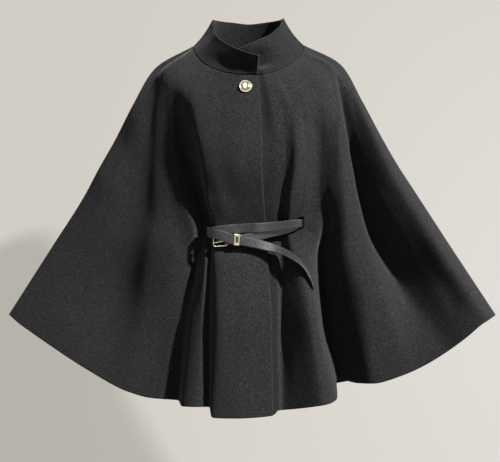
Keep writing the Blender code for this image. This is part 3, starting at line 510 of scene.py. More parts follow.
def grey(value):
    return (value,) * 3


def wool(name, tone=1.0):
    """Fulled wool: a close felted face of dark fibres with a scatter of paler ones."""
    tree = new_material(name)
    place = tree.place()
    shades = [(at, scaled(WOOL, tone * factor)) for at, factor in WOOL_SHADES]
    colour = tree.ramp(tree.noise(place, WOOL_FIBRES), shades)
    lumps = tree.bump(tree.noise(place, WOOL_LUMPS), WOOL_LUMPS)
    return tree.finish(
        Base_Color=colour,
        Normal=tree.bump(tree.noise(place, WOOL_FELT), WOOL_FELT, Normal=lumps),
        Roughness=0.95,
        Specular_IOR_Level=0.05,
        Sheen_Weight=0.22,
        Sheen_Roughness=0.55,
        Sheen_Tint=(0.62, 0.62, 0.62, 1.0),
    )


def leather(name, holes):
    """Smooth leather with a pebble grain, a soft shine and punched holes at these points (m),
    painted as near-black spots of shade.
    """
    tree = new_material(name)
    place = tree.place()
    cloud = tree.noise(place, LEATHER_CLOUD)
    colour = tree.ramp(cloud, ((0.3, scaled(LEATHER, 0.75)), (0.7, scaled(LEATHER, 1.3))))
    nearest = None
    for hole in holes:
        apart = tree.reckoned("VectorMath", "DISTANCE", place, hole)
        nearest = apart if nearest is None else tree.reckoned("Math", "MINIMUM", nearest, apart)
    edge = HOLE_RADIUS * MM
    outside = tree.add("MapRange", Value=nearest, From_Min=edge * HOLE_SHARPNESS, From_Max=edge)
    outside = outside.outputs["Result"]
    # painted shade: the holes are not cut, each is a near-black spot mixed into the colour
    holes_painted_dark = tree.add("Mix")
    holes_painted_dark.data_type = "RGBA"
    tree.put(holes_painted_dark, {"Factor": outside, 6: HOLE_PAINTED_SHADE, 7: colour})
    pebbles = tree.add("TexVoronoi", Vector=place, Scale=LEATHER_PEBBLES[0]).outputs["Distance"]
    creases = tree.bump(tree.noise(place, LEATHER_CREASES), LEATHER_CREASES)
    return tree.finish(
        Base_Color=holes_painted_dark.outputs[2],
        Specular_IOR_Level=tree.reckoned("Math", "MULTIPLY", outside, LEATHER_GLOSS),
        Normal=tree.bump(pebbles, LEATHER_PEBBLES, Normal=creases),
        Roughness=tree.ramp(cloud, ((0.2, grey(0.34)), (0.8, grey(0.46)))),
    )


def gold(name, roughness, tone=1.0):
    """Polished pale gold with faint rubbing marks."""
    tree = new_material(name)
    rubbed = tree.noise(tree.place(), GOLD_RUBBING)
    full = scaled(PALE_GOLD, tone)
    return tree.finish(
        Base_Color=tree.ramp(rubbed, ((0.3, scaled(full, 0.86)), (0.7, full))),
        Roughness=tree.ramp(rubbed, ((0.3, grey(roughness)), (0.75, grey(roughness + GOLD_MARKS)))),
        Metallic=1.0,
        Normal=tree.bump(rubbed, GOLD_RUBBING),
    )


# ------------------------------------------------------------------- curves


def unit(vectors):
    return vectors / np.linalg.norm(vectors, axis=-1, keepdims=True)


def read(at, values, slope, places):
    """Reads the smooth curve that has these values and slopes."""
    left = np.clip(np.searchsorted(at, places, side="right") - 1, 0, len(at) - 2)
    tail = (-1,) + (1,) * (values.ndim - 1)
    width = at[left + 1] - at[left]
    share = ((places - at[left]) / width).reshape(tail)
    width = width.reshape(tail)
    square = share * share
    cube = square * share
    return (
        (2 * cube - 3 * square + 1) * values[left]
        + (cube - 2 * square + share) * width * slope[left]
        + (3 * square - 2 * cube) * values[left + 1]
        + (cube - square) * width * slope[left + 1]
    )


def slopes(at, values):
    """Slope at each measured place of a curve that never swings past its measurements."""
    width = np.diff(at).reshape((-1,) + (1,) * (values.ndim - 1))
    rise = np.diff(values, axis=0) / width
    before = rise[:-1]
    after = rise[1:]
    first = 2 * width[1:] + width[:-1]
    second = width[1:] + 2 * width[:-1]
    same_way = before * after > 0
    safe_before = np.where(same_way, before, 1.0)
    safe_after = np.where(same_way, after, 1.0)
    middle = (first + second) / (first / safe_before + second / safe_after)
    return np.concatenate([rise[:1], np.where(same_way, middle, 0.0), rise[-1:]])


def curve(at, values, places):
    """A smooth curve through values (along their first axis), read at places."""
    at, values, places = (np.asarray(given, float) for given in (at, values, places))
    return read(at, values, slopes(at, values), places)


def rounded_curve(at, values, places):
    """A smooth curve that may swing past its measurements, as a bent strap does."""
    slope = np.zeros_like(values)
    before = np.diff(at)[:-1, None]
    after = np.diff(at)[1:, None]
    rise_before = (values[1:-1] - values[:-2]) / before
    rise_after = (values[2:] - values[1:-1]) / after
    slope[1:-1] = (rise_before * after + rise_after * before) / (before + after)
    slope[0] = (values[1] - values[0]) / (at[1] - at[0])
    slope[-1] = (values[-1] - values[-2]) / (at[-1] - at[-2])
    return read(at, values, slope, places)


def lengths_along(points):
    steps = np.linalg.norm(np.diff(points, axis=0), axis=1)
    return np.concatenate([[0.0], np.cumsum(steps)])


# -------------------------------------------------------- form of the garment


def at_levels(row, rows):
    return curve(list(LEVELS.values()), row, rows)


def arc_height(across, half_width, centre, edge, rows):
    """Height of a level at this distance across, on an arc from the centre line to the edge."""
    round_share = np.interp(rows, ARC_AT, ARC_ROUNDNESS)
    share = np.clip(np.abs(across) / half_width, 0.0, 1.0)
    here = 1 - np.sqrt(np.maximum(0.0, 1 - (round_share * share) ** 2))
    whole = 1 - np.sqrt(np.maximum(0.0, 1 - round_share**2))
    return centre + (edge - centre) * here / whole


def front_lines(across, forward, side, rows):
    """Each fold of one front as a line of points down the cloth: (rows, folds, 3)."""
    half_width = np.abs(at_levels(across["outer_edge"], rows))
    edge = at_levels(EDGE_HEIGHT[side], rows)
    centre = -NECK_FRONT_DROP + (FRONT_HEM_Z + NECK_FRONT_DROP) * rows
    low = np.clip((rows - LEVELS["thigh"]) / (1 - LEVELS["thigh"]), 0.0, 1.0)
    lines = []
    for fold, places in across.items():
        x = at_levels(places, rows)
        share = min(1.0, abs(places[0]) / NECK_HALF_WIDTH)
        neck = -NECK_FRONT * np.sqrt(1 - share * share)
        y = at_levels((neck, *forward[fold][:-1]), rows)
        z = arc_height(x, half_width, centre, edge, rows)
        z = z + forward[fold][-1] * low * low * (3 - 2 * low)
        lines.append(np.stack([x, y, z], axis=1))
    return np.stack(lines, axis=1)


def back_lines(rows):
    """The folds of the back, between the two outer edges."""
    edges = {}
    for side, across, forward in (
        ("right", RIGHT_ACROSS, RIGHT_FORWARD),
        ("left", LEFT_ACROSS, LEFT_FORWARD),
    ):
        edges[side] = (
            np.abs(at_levels(across["outer_edge"], rows)),
            at_levels((0, *forward["outer_edge"][:-1]), rows),
            at_levels(EDGE_HEIGHT[side], rows),
        )
    depth = at_levels(BACK_DEPTH, rows)
    square = at_levels(BACK_SQUARENESS, rows)
    full = at_levels(BACK_FULLNESS, rows)
    centre = -NECK_BACK_DROP + (BACK_HEM_Z + NECK_BACK_DROP) * rows
    lines = []
    for place_top, place_hem, *outs in BACK_FOLDS.values():
        half_width, edge_forward, edge_height = edges["right" if place_top < 0 else "left"]
        share = place_top + (place_hem - place_top) * rows
        x = share * half_width
        share = np.abs(share)
        y = edge_forward * share**4
        y = y + depth * (1 - share**square) ** (1 / full) + curve(BACK_FOLDS_AT, outs, rows)
        z = arc_height(x, half_width, centre, edge_height, rows)
        lines.append(np.stack([x, y, z], axis=1))
    return np.stack(lines, axis=1)


def whole_ring(rows):
    """All the folds once round the cape: from the top closing edge by the right side to the other.

    The first and the last lines only steer the curve and carry no cloth.
    """
    rows = np.asarray(rows, float)
    right = front_lines(RIGHT_ACROSS, RIGHT_FORWARD, "right", rows)
    left = front_lines(LEFT_ACROSS, LEFT_FORWARD, "left", rows)
    step = np.array([0.0, LAP_STEP, 0.0])
    ring = [left[:, :1] - step, right, back_lines(rows), left[:, ::-1], right[:, :3] + step]
    return np.concatenate(ring, axis=1)


RIGHT_NAMES = list(RIGHT_ACROSS)
LEFT_NAMES = list(LEFT_ACROSS)
CLOSING = 1.0
EDGE_RIGHT = CLOSING + RIGHT_NAMES.index("outer_edge")
EDGE_LEFT = EDGE_RIGHT + len(BACK_FOLDS) + 1
UNDER_EDGE = EDGE_LEFT + len(LEFT_NAMES) + 1


def right_place(fold):
    return CLOSING + RIGHT_NAMES.index(fold)


def left_place(fold):
    return EDGE_LEFT + len(LEFT_NAMES) - 1 - LEFT_NAMES.index(fold)


def surface(rows, places):
    """Points of the outer face: (rows, places, 3) in mm."""
    lines = whole_ring(rows)
    found = curve(np.arange(lines.shape[1]), np.swapaxes(lines, 0, 1), places)
    return np.swapaxes(found, 0, 1)


def outward(rows, places):
    """Unit directions out of the cloth at the same points."""
    rows = np.asarray(rows, float)
    places = np.asarray(places, float)
    down = surface(np.minimum(rows + SMALL_ROW, 1.0), places)
    up = surface(np.maximum(rows - SMALL_ROW, 0.0), places)
    ahead = surface(rows, places + SMALL_PLACE)
    behind = surface(rows, places - SMALL_PLACE)
    normal = unit(np.cross(ahead - behind, down - up))
    smooth = normal.copy()
    smooth[:, 1:-1] = 0.25 * normal[:, :-2] + 0.5 * normal[:, 1:-1] + 0.25 * normal[:, 2:]
    return unit(smooth)


def eased(outer, sewn):
    """Moves the border points back by half the gap where another piece is sewn on."""
    outer = outer.copy()
    outer[0] += NECK_GAP / 2 * unit(outer[1] - outer[0])
    if "first" in sewn:
        outer[:, 0] += SEAM_GAP / 2 * unit(outer[:, 1] - outer[:, 0])
    if "last" in sewn:
        outer[:, -1] += SEAM_GAP / 2 * unit(outer[:, -2] - outer[:, -1])
    return outer


def seam_direction(places):
    """Outward direction shared by the cape and the collar where they are sewn together."""
    foot = surface([0.0], places)[0]
    ahead = surface([0.0], places + SMALL_PLACE)[0]
    along = ahead - surface([0.0], places - SMALL_PLACE)[0]
    collar = unit(np.cross(along, foot - collar_top(places)))
    return unit(outward([0.0], places)[0] + collar)


def seam_share(places):
    """Where places lie along the neck seam, 0 at the collar's top end and 1 at its under end."""
    fine = np.linspace(CLOSING, UNDER_EDGE, 400)
    length = lengths_along(surface([0.0], fine)[0])
    return np.interp(places, fine, length / length[-1])


def collar_top(places):
    table = np.array(list(COLLAR_TOP.values()), float)
    return curve(table[:, 0], table[:, 1:], seam_share(places))


# ------------------------------------------------------------- cloth shells


def show(name, points, faces, painted, smooth=True):
    """A new mesh object from points in mm."""
    mesh = bpy.data.meshes.new(name)
    mesh.from_pydata([tuple(point) for point in np.asarray(points) * MM], [], faces)
    mesh.update()
    mesh.polygons.foreach_set("use_smooth", [smooth] * len(mesh.polygons))
    if painted:
        mesh.materials.append(painted)
    made = bpy.data.objects.new(name, mesh)
    bpy.context.scene.collection.objects.link(made)
    return made


def stand_in(made, node):
    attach(made, "root")
    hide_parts(node)
    return made


def border_of(rows, columns):
    """Grid indices once round the border, and each one's neighbour inside."""
    top = [(0, j) for j in range(columns - 1)]
    right = [(i, columns - 1) for i in range(rows - 1)]
    bottom = [(rows - 1, j) for j in range(columns - 1, 0, -1)]
    left = [(i, 0) for i in range(rows - 1, 0, -1)]
    loop = top + right + bottom + left
    inside = [(min(max(i, 1), rows - 2), min(max(j, 1), columns - 2)) for i, j in loop]
    return loop, inside


def shell(name, outer, inner, painted, hole=None, sewn=()):
    """A closed cloth wall between two grids: round rims, but nearly square ones where it is sewn.

    hole is (first row, last row, first column, last column) of the cells left out.
    """
    rows, columns = outer.shape[:2]
    count = rows * columns
    loop, inside = border_of(rows, columns)
    at = tuple(np.array(loop).T)
    near = tuple(np.array(inside).T)
    middle = (outer[at] + inner[at]) / 2
    half = (outer[at] - inner[at]) / 2
    square = np.zeros(len(loop), bool)
    if "first" in sewn:
        square |= at[1] == 0
    if "last" in sewn:
        square |= at[1] == columns - 1
    thick = np.linalg.norm(half, axis=1, keepdims=True)
    away = unit(outer[at] - outer[near]) * np.where(square[:, None], SEWN_RIM, thick)
    outer = outer.copy()
    inner = inner.copy()
    for moved in (outer, inner):
        moved[at] -= away
    middle = middle - away
    points = [outer.reshape(-1, 3), inner.reshape(-1, 3)]
    rings = [{i * columns + j: i * columns + j for i, j in loop}]
    for ring in range(1, RIM_RINGS + 1):
        turn = math.pi * ring / (RIM_RINGS + 1)
        points.append(middle + half * math.cos(turn) + away * math.sin(turn))
        base = 2 * count + (ring - 1) * len(loop)
        rings.append({i * columns + j: base + k for k, (i, j) in enumerate(loop)})
    rings.append({i * columns + j: count + i * columns + j for i, j in loop})

    keep = np.ones((rows - 1, columns - 1), bool)
    if hole is not None:
        keep[hole[0] : hole[1], hole[2] : hole[3]] = False
    faces = []
    edges = set()
    for i, j in zip(*np.nonzero(keep)):
        first = int(i) * columns + int(j)
        face = (first, first + 1, first + columns + 1, first + columns)
        faces.append(face)
        faces.append(tuple(count + corner for corner in reversed(face)))
        edges.update(zip(face, face[1:] + face[:1]))
    for a, b in edges:
        if (b, a) in edges:
            continue
        if a in rings[0] and b in rings[0]:
            for upper, lower in zip(rings[:-1], rings[1:]):
                faces.append((upper[b], upper[a], lower[a], lower[b]))
        else:
            faces.append((b, a, a + count, b + count))
    return show(name, np.concatenate(points), faces, painted)


def fine_rows():
    even = np.linspace(0.0, 1.0, ROW_COUNT)
    return np.array(sorted(set(np.round(even, 5)) | set(RIGHT_SLIT_ROWS + LEFT_SLIT_ROWS)))


def fine_columns(first, second, slit=None):
    count = int(round((second - first) * COLUMNS_PER_FOLD))
    places = list(np.linspace(first, second, count + 1))
    if slit is None:
        return np.array(places)
    margin = SLIT_MARGIN / COLUMNS_PER_FOLD
    places = [p for p in places if min(abs(p - min(slit)), abs(p - max(slit))) > margin]
    return np.array(sorted(places + list(slit)))


def softened(points):
    """Evens the small changes of curvature at the fold lines, with the border left alone."""
    points = points.copy()
    for _ in range(SOFTENING_PASSES):
        inner = points[1:-1, 1:-1]
        around = points[:-2, 1:-1] + points[2:, 1:-1] + points[1:-1, :-2] + points[1:-1, 2:]
        points[1:-1, 1:-1] = 0.5 * inner + 0.125 * around
    return points


def creased(points, normal, lines):
    """Adds soft troughs (negative) and ridges, each along a bent line drawn in front view."""
    points = points.copy()
    steps = np.linspace(0.0, 1.0, CREASE_STEPS)
    bend = np.stack([(1 - steps) ** 2, 2 * steps * (1 - steps), steps**2])
    for x0, z0, x1, z1, x2, z2, width, depth in lines:
        gap_x = points[..., 0:1] - np.array([x0, x1, x2]) @ bend
        gap_z = points[..., 2:3] - np.array([z0, z1, z2]) @ bend
        distance = np.sqrt(gap_x**2 + gap_z**2)
        nearest = np.argmin(distance, axis=2)
        near_end = np.minimum(steps, 1.0 - steps)[nearest]
        taper = np.clip(near_end / CREASE_FADE, 0.0, 1.0)
        taper = taper * taper * (3 - 2 * taper)
        rise = depth * taper * np.exp(-((np.min(distance, axis=2) / width) ** 2))
        points += normal * rise[..., None]
    return points


def nearest_to(values, sought):
    return int(np.argmin(np.abs(values - sought)))


def panel(node, places, creases, sewn, cut=None):
    """A front or the back; cut gives the columns and the rows that bound its belt slit."""
    rows = fine_rows()
    normal = outward(rows, places)
    normal[0] = seam_direction(places)
    outer = eased(creased(softened(surface(rows, places)), normal, creases.values()), sewn)
    hole = None
    if cut is not None:
        slit, slit_rows = cut
        hole = [nearest_to(rows, row) for row in slit_rows]
        hole += [nearest_to(places, min(slit)), nearest_to(places, max(slit))]
    painted = wool(node + "_wool")
    made = shell(node + "_cloth", outer, outer - normal * CLOTH_WALL, painted, hole, sewn)
    return stand_in(made, node)


def collar_shell(places, painted):
    """The wrapped collar, two plies thick, with full round edges."""
    foot = surface([0.0], places)[0]
    top = collar_top(places)
    shared = seam_direction(places)
    foot = foot + unit(top - foot) * (NECK_GAP / 2)
    rise = top - foot
    normal = unit(np.cross(np.gradient(foot, axis=0), -rise))
    share = seam_share(places)
    flat_end = np.clip(share / COLLAR_FLAT_END, 0.0, 1.0)[:, None]
    outer = []
    inner = []
    for height in np.linspace(1.0, 0.0, COLLAR_FINE_ROWS):
        bow = COLLAR_BOW * flat_end * 4 * height * (1 - height)
        ring = foot + rise * height - normal * bow
        blend = min(1.0, height / COLLAR_TURN)
        outer.append(ring)
        inner.append(ring - unit(shared * (1 - blend) + normal * blend) * COLLAR_WALL)
    outer = softened(np.array(outer))
    inner = softened(np.array(inner))
    for first, last, *line in COLLAR_CREASES.values():
        here = (share >= first) & (share <= last)
        facing = np.broadcast_to(normal[here], outer[:, here].shape)
        dent = creased(outer[:, here], facing, [line]) - outer[:, here]
        outer[:, here] += dent
        inner[:, here] += dent
    return stand_in(shell("collar_cloth", outer, inner, painted), "collar")


def slit_places(folds, shares, place_of):
    first, second = (place_of(fold) for fold in folds)
    return [first + share * (second - first) for share in shares]


def cloth():
    right_slit = slit_places(RIGHT_SLIT_FOLDS, RIGHT_SLIT_SHARE, right_place)
    left_slit = slit_places(LEFT_SLIT_FOLDS, LEFT_SLIT_SHARE, left_place)
    right = fine_columns(CLOSING, EDGE_RIGHT, right_slit)
    back = fine_columns(EDGE_RIGHT, EDGE_LEFT)
    left = fine_columns(EDGE_LEFT, UNDER_EDGE, left_slit)
    right_cut = (right_slit, RIGHT_SLIT_ROWS)
    left_cut = (left_slit, LEFT_SLIT_ROWS)
    front_right = panel("front_right", right, RIGHT_CREASES, ("last",), right_cut)
    front_left = panel("front_left", left, LEFT_CREASES, ("first",), left_cut)
    whole_back = panel("back", back, BACK_CREASES, ("first", "last"))
    round_neck = np.concatenate([right, back[1:], left[1:]])
    # painted shade: the collar's wool is a darker copy of the cape's
    collar = collar_shell(round_neck, wool("collar_wool", COLLAR_PAINTED_SHADE))


# --------------------------------------------------------------------- belt


def tube_faces(count, sides, closed=False):
    """Faces over rings of points, one ring after another, with flat ends unless it is closed."""
    faces = []
    for i in range(count if closed else count - 1):
        low = i * sides
        high = (i + 1) % count * sides
        for k in range(sides):
            after = (k + 1) % sides
            faces.append((low + after, low + k, high + k, high + after))
    if not closed:
        faces.append(tuple(range(sides)))
        faces.append(tuple(reversed(range((count - 1) * sides, count * sides))))
    return faces


def even_path(step):
    """The belt's path at even steps, keeping the close bends: X, Y, Z, lean, width."""
    rows = [row for stretch in BELT_PATH.values() for row in stretch]
    table = np.array([(*row, *BELT_USUAL[len(row) - 3 :]) for row in rows], float)
    length = lengths_along(table[:, :3])
    places = [0.0]
    for first, second in zip(length[:-1], length[1:]):
        parts = max(1, int(round((second - first) / step)))
        places += list(first + (second - first) * np.arange(1, parts + 1) / parts)
    return rounded_curve(length, table, np.array(places))


def strap_frame(path):
    """Unit vectors across the strap's width and through its thickness, away from the outer face."""
    lean = np.radians(path[:, 3])[:, None]
    along = unit(np.gradient(path[:, :3], axis=0))
    up = unit(np.array([0.0, 0.0, 1.0]) - along[:, 2:3] * along)
    wide = up * np.cos(lean) + np.cross(up, along) * np.sin(lean)
    return wide, np.cross(wide, along)


def strap_section():
    """Points once round the strap's section: shares of half its width and of half its thickness."""
    edge = STRAP_EDGE / (STRAP_WIDTH / 2)
    section = []
    for wide_side, deep_side in ((1, 1), (-1, 1), (-1, -1), (1, -1)):
        turns = np.linspace(0.0, math.pi / 2, 4)
        corner = [(math.cos(turn), math.sin(turn)) for turn in turns]
        if wide_side * deep_side < 0:
            corner.reverse()
        for wide, deep in corner:
            section.append((wide_side * (1 - edge + edge * wide), deep_side * deep))
    inset = 1 - STRAP_INSET * edge
    across = (inset, inset / 2, 0, -inset / 2, -inset)
    front = [(share, 1.0 + STRAP_CROWN * (1 - share**2)) for share in across]
    back = [(-inset, -1.0), (0.0, -1.0), (inset, -1.0)]
    return np.array(section[:4] + front + section[4:12] + back + section[12:])


def belt_holes(path):
    """Points on the outer face of the tail where the holes are, in metres."""
    thick = strap_frame(path)[1]
    tail = len(path) - 1 - int(np.argmin(path[::-1, 0] > TAIL_FROM))
    found = []
    for x in HOLES_AT:
        here = tail + nearest_to(path[tail:, 0], x)
        found.append(tuple((path[here, :3] - thick[here] * STRAP_THICK / 2) * MM))
    return found


def belt():
    path = even_path(STRAP_FINE_STEP)
    wide, thick = strap_frame(path)
    half = (STRAP_WIDTH / 2 * path[:, 4])[:, None]
    section = strap_section()
    rings = [
        path[:, :3] + wide * half * share + thick * (STRAP_THICK / 2) * deep
        for share, deep in section
    ]
    points = np.stack(rings, axis=1).reshape(-1, 3)
    painted = leather("belt_leather", belt_holes(path))
    made = show("belt_strap", points, tube_faces(len(path), len(section)), painted)
    return stand_in(made, "belt")


# -------------------------------------------------------------------- metal


def fine_tube(name, node, centre, wire, painted, closed=False, taper=1.0):
    """Round wire along a path; taper gives each point's share of the full radius."""
    if closed:
        along = unit(np.roll(centre, -1, axis=0) - np.roll(centre, 1, axis=0))
    else:
        along = unit(np.gradient(centre, axis=0))
    depth = unit(np.array([0.0, 1.0, 0.0]) - along[:, 1:2] * along)
    side = np.cross(along, depth)
    radius = wire * (np.ones(len(centre)) * taper)[:, None]
    turns = np.linspace(0.0, 2 * math.pi, WIRE_FINE_SIDES, endpoint=False)
    rings = [centre + radius * (side * math.cos(turn) + depth * math.sin(turn)) for turn in turns]
    points = np.stack(rings, axis=1).reshape(-1, 3)
    made = show(name, points, tube_faces(len(centre), WIRE_FINE_SIDES, closed), painted)
    return stand_in(made, node)


def rounded_rectangle(half_wide, half_high, corner, steps):
    """Points once round a rectangle with round corners, in two flat directions."""
    points = []
    for turn, x, z in ((0, 1, 1), (90, -1, 1), (180, -1, -1), (270, 1, -1)):
        for step in range(steps + 1):
            angle = math.radians(turn + 90 * step / steps)
            across = x * (half_wide - corner) + corner * math.cos(angle)
            points.append((across, z * (half_high - corner) + corner * math.sin(angle)))
    return np.array(points)


def turned(points, degrees, first, second):
    """Turns points by an angle from the first of two axes (0, 1 or 2) to the second."""
    angle = math.radians(degrees)
    points = np.array(points, float)
    a = points[:, first] * math.cos(angle) - points[:, second] * math.sin(angle)
    b = points[:, first] * math.sin(angle) + points[:, second] * math.cos(angle)
    points[:, first] = a
    points[:, second] = b
    return points


def about_y(points, degrees):
    return turned(points, degrees, 2, 0)


def buckle_frame(painted):
    flat = rounded_rectangle(FRAME_HALF_WIDTH, FRAME_HALF_HEIGHT, FRAME_CORNER, 10)
    path = np.stack([flat[:, 0], np.zeros(len(flat)), flat[:, 1]], axis=1)
    path = turned(about_y(path, FRAME_ROLL), FRAME_TURN, 0, 1) + np.array(FRAME_CENTRE)
    return fine_tube("buckle_wire", "buckle_frame", path, FRAME_WIRE, painted, closed=True)


def buckle_prong(painted):
    share = np.linspace(0.0, 1.0, 41)
    path = curve((0.0, 0.5, 1.0), [PRONG_FROM, PRONG_MIDDLE, PRONG_TO], share)
    root, tip = PRONG_ENDS
    taper = PRONG_END_WIRE + (1 - PRONG_END_WIRE) * np.minimum(share / root, (1 - share) / tip)
    return fine_tube(
        "buckle_pin", "buckle_prong", path, PRONG_WIRE, painted, taper=np.minimum(1.0, taper)
    )


def keeper(painted):
    """A flat metal loop round the straps, with a window in its front face."""
    half_deep, half_high = (size / 2 for size in KEEPER_INNER)
    wall = KEEPER_WALL
    inner = rounded_rectangle(half_deep, half_high, KEEPER_CORNER, 5)
    outer = rounded_rectangle(half_deep + wall, half_high + wall, KEEPER_CORNER + wall, 5)
    end = KEEPER_LENGTH / 2
    points = []
    for ring, x in ((outer, -end), (inner, -end), (inner, end), (outer, end)):
        points += [(x, deep, high) for deep, high in ring]
    points = about_y(points, KEEPER_ROLL) + np.array(KEEPER_CENTRE)
    faces = tube_faces(4, len(inner), closed=True)
    made = show("keeper_loop", points, faces, painted, smooth=False)
    cut = cutter_box(KEEPER_WINDOW, KEEPER_CENTRE, (0.0, -half_deep - wall / 2, 0.0), KEEPER_ROLL)
    modifier = made.modifiers.new("cut", "BOOLEAN")
    modifier.operation = "DIFFERENCE"
    modifier.object = cut
    applied(made, modifier)
    bpy.data.objects.remove(cut)
    rounding = made.modifiers.new("edges", "BEVEL")
    rounding.width = KEEPER_BEVEL * MM
    rounding.segments = 2
    rounding.limit_method = "ANGLE"
    rounding.angle_limit = math.radians(35)
    applied(made, rounding)
    made.data.shade_smooth()
    made.data.set_sharp_from_angle(angle=math.radians(40))
    return stand_in(made, "keeper")


def cutter_box(size, centre, offset, roll):
    """A rounded box in mm used only to cut, then removed."""
    outline = rounded_rectangle(size[0] / 2, size[2] / 2, KEEPER_WINDOW_CORNER, 4)
    points = [(x, deep, z) for deep in (-size[1] / 2, size[1] / 2) for x, z in outline]
    points = about_y(np.array(points) + np.array(offset), roll) + np.array(centre)
    return show("cutter", points, tube_faces(2, len(outline)), None, smooth=False)


def applied(made, modifier):
    bpy.context.view_layer.objects.active = made
    bpy.ops.object.modifier_apply(modifier=modifier.name)


def button(painted):
    """Domed metal button: a rolled rim, a groove and a plain dome."""
    near = np.linspace(CLOSING, right_place("flank"), 200)
    seat_row = surface([BUTTON_SHARE], near)[0]
    place = near[nearest_to(seat_row[:, 0], BUTTON_X)]
    seat = surface([BUTTON_SHARE], [place])[0, 0]
    axis = outward([BUTTON_SHARE], [place - 0.2, place, place + 0.2])[0, 1]
    side = unit(np.cross(np.array([0.0, 0.0, 1.0]), axis))
    up = np.cross(axis, side)
    radius = BUTTON_RADIUS
    low = BUTTON_RIM_Z
    wide, high = BUTTON_RIM
    profile = [(radius - inset, height) for inset, height in BUTTON_FOOT]
    for turn in np.linspace(0.0, math.pi, 9):
        profile.append((radius - wide + wide * math.cos(turn), low + high * math.sin(turn)))
    profile.append((radius - BUTTON_GROOVE[0], BUTTON_GROOVE[1]))
    dome = radius - BUTTON_DOME_IN
    for turn in math.pi / 2 * np.linspace(0.0, BUTTON_DOME_END, 16):
        profile.append((dome * math.cos(turn), low + (BUTTON_DOME - low) * math.sin(turn)))
    sides = BUTTON_FINE_SIDES
    points = [seat + axis * BUTTON_STAND]
    for ring_radius, height in profile:
        for turn in 2 * math.pi * np.arange(sides) / sides:
            out = side * math.cos(turn) + up * math.sin(turn)
            points.append(seat + axis * (BUTTON_STAND + height) + out * ring_radius)
    points.append(seat + axis * (BUTTON_STAND + BUTTON_DOME))
    last = 1 + (len(profile) - 1) * sides
    faces = []
    for k in range(sides):
        after = (k + 1) % sides
        faces.append((0, 1 + after, 1 + k))
        for low in range(1, last, sides):
            high = low + sides
            faces.append((low + k, low + after, high + after, high + k))
        faces.append((last + k, last + after, len(points) - 1))
    made = show("button_dome", np.array(points), faces, painted)
    return stand_in(made, "button")


# ------------------------------------------------------------------- studio


def flat_piece(name, corners, tree, **seen_by):
    """A four-cornered piece of the stage, in metres, hidden from the rays named as False."""
    mesh = bpy.data.meshes.new(name)
    mesh.from_pydata(corners, [], [(0, 1, 2, 3)])
    mesh.materials.append(tree.owner)
    made = bpy.data.objects.new(name, mesh)
    bpy.context.scene.collection.objects.link(made)
    for ray, seen in seen_by.items():
        setattr(made, "visible_" + ray, seen)
    return made


def stage_plane(name, corners):
    """A pale stage surface that glows a little, lights nothing and is clear from behind."""
    tree = new_material(name)
    moved = tree.add(
        "Mapping",
        Vector=tree.place(),
        Location=(-GLOW_CENTRE[0] / GLOW_REACH, 0.0, -GLOW_CENTRE[1] / GLOW_REACH),
        Scale=(1 / GLOW_REACH, 0.0, 1 / GLOW_REACH),
    )
    fall = tree.add("TexGradient", Vector=moved.outputs["Vector"])
    fall.gradient_type = "SPHERICAL"
    glow = tree.ramp(fall.outputs["Fac"], ((0.0, GLOW_FAR), (0.85, GLOW_NEAR)))
    tree.finish(
        Base_Color=(*WALL_COLOUR, 1.0),
        Roughness=1.0,
        Specular_IOR_Level=0.0,
        Emission_Color=glow,
        Emission_Strength=1.0,
    )
    from_behind = tree.add("NewGeometry").outputs["Backfacing"]
    front = tree.nodes["Principled BSDF"].outputs["BSDF"]
    clear = tree.add("BsdfTransparent").outputs["BSDF"]
    mixed = tree.add("MixShader", from_behind, front, clear)
    tree.put(tree.nodes["Material Output"], {"Surface": mixed.outputs["Shader"]})
    flat_piece(name, corners, tree, diffuse=False, shadow=False)


def card(name, x, y, z, width, height, turn, brightness):
    """A glowing card that is mirrored by metal and leather and never seen itself."""
    tree = new_material(name)
    tree.finish(
        Base_Color=(0.0, 0.0, 0.0, 1.0),
        Specular_IOR_Level=0.0,
        Emission_Color=(*CARD_COLOUR, 1.0),
        Emission_Strength=brightness,
    )
    w = width / 2
    h = height / 2
    corners = [(-w, -h, 0), (w, -h, 0), (w, h, 0), (-w, h, 0)]
    made = flat_piece(name, corners, tree, camera=False, diffuse=False, shadow=False)
    made.location = (x, y, z)
    made.rotation_euler = (math.radians(turn), 0.0, 0.0)


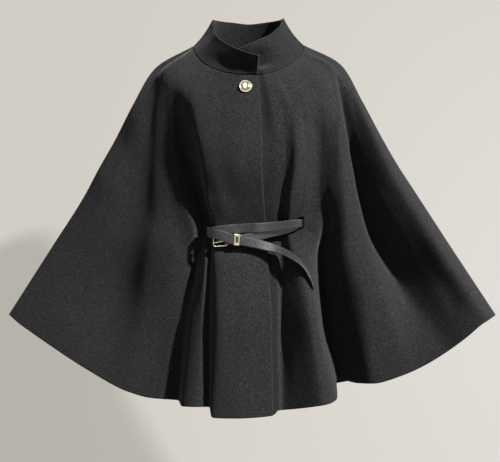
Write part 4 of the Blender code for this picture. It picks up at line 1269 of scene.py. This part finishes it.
def sun(name, turn, height, strength):
    """A soft far light: turn is in degrees to the right of the view, height above the horizon."""
    light = bpy.data.lights.new(name, "SUN")
    light.energy = strength
    light.angle = math.radians(SUN_ANGLE)
    light.color = SUN_COLOUR
    made = bpy.data.objects.new(name, light)
    turn = math.radians(turn)
    height = math.radians(height)
    flat = math.cos(height)
    from_here = Vector((math.sin(turn) * flat, -math.cos(turn) * flat, math.sin(height)))
    made.rotation_euler = from_here.to_track_quat("Z", "Y").to_euler()
    bpy.context.scene.collection.objects.link(made)


def studio():
    far = STAGE_FAR
    low = FLOOR_BELOW
    left = WALL_BEHIND - far * WALL_SLANT
    right = WALL_BEHIND + far * WALL_SLANT
    foot = [(-far, left, low), (far, right, low)]
    stage_plane("wall", [*foot, (far, right, far), (-far, left, far)])
    stage_plane("floor", [(-far, -far, low), (far, -far, low), *reversed(foot)])
    for name, row in CARDS.items():
        card(name, *row)
    for name, row in SUNS.items():
        sun(name, *row)
    scene = bpy.context.scene
    scene.world = bpy.data.worlds.new("studio_air")
    scene.view_settings.view_transform = "Standard"
    tree = Tree(scene.world)
    lighting = tree.nodes["Background"]
    tree.put(lighting, {"Color": (*AMBIENT, 1.0)})
    seen = tree.add("Background", Color=(*PALE_AIR, 1.0))
    eye = tree.add("LightPath").outputs["Is Camera Ray"]
    mixed = tree.add("MixShader", eye, lighting.outputs["Background"], seen.outputs["Background"])
    tree.put(tree.nodes["World Output"], {"Surface": mixed.outputs["Shader"]})


def camera():
    data = bpy.data.cameras.new("camera")
    data.lens = CAMERA_LENS
    data.sensor_width = CAMERA_SENSOR
    made = bpy.data.objects.new("camera", data)
    made.location = CAMERA_AT
    made.rotation_euler = (math.radians(90), 0.0, 0.0)
    bpy.context.scene.collection.objects.link(made)
    bpy.context.scene.camera = made


def main():
    camera()
    studio()
    cloth()
    belt()
    buckle_frame(gold("buckle_frame_metal", 0.16))
    buckle_prong(gold("buckle_prong_metal", 0.16))
    keeper(gold("keeper_metal", 0.18))
    button(gold("button_metal", 0.2, BUTTON_TONE))


main()
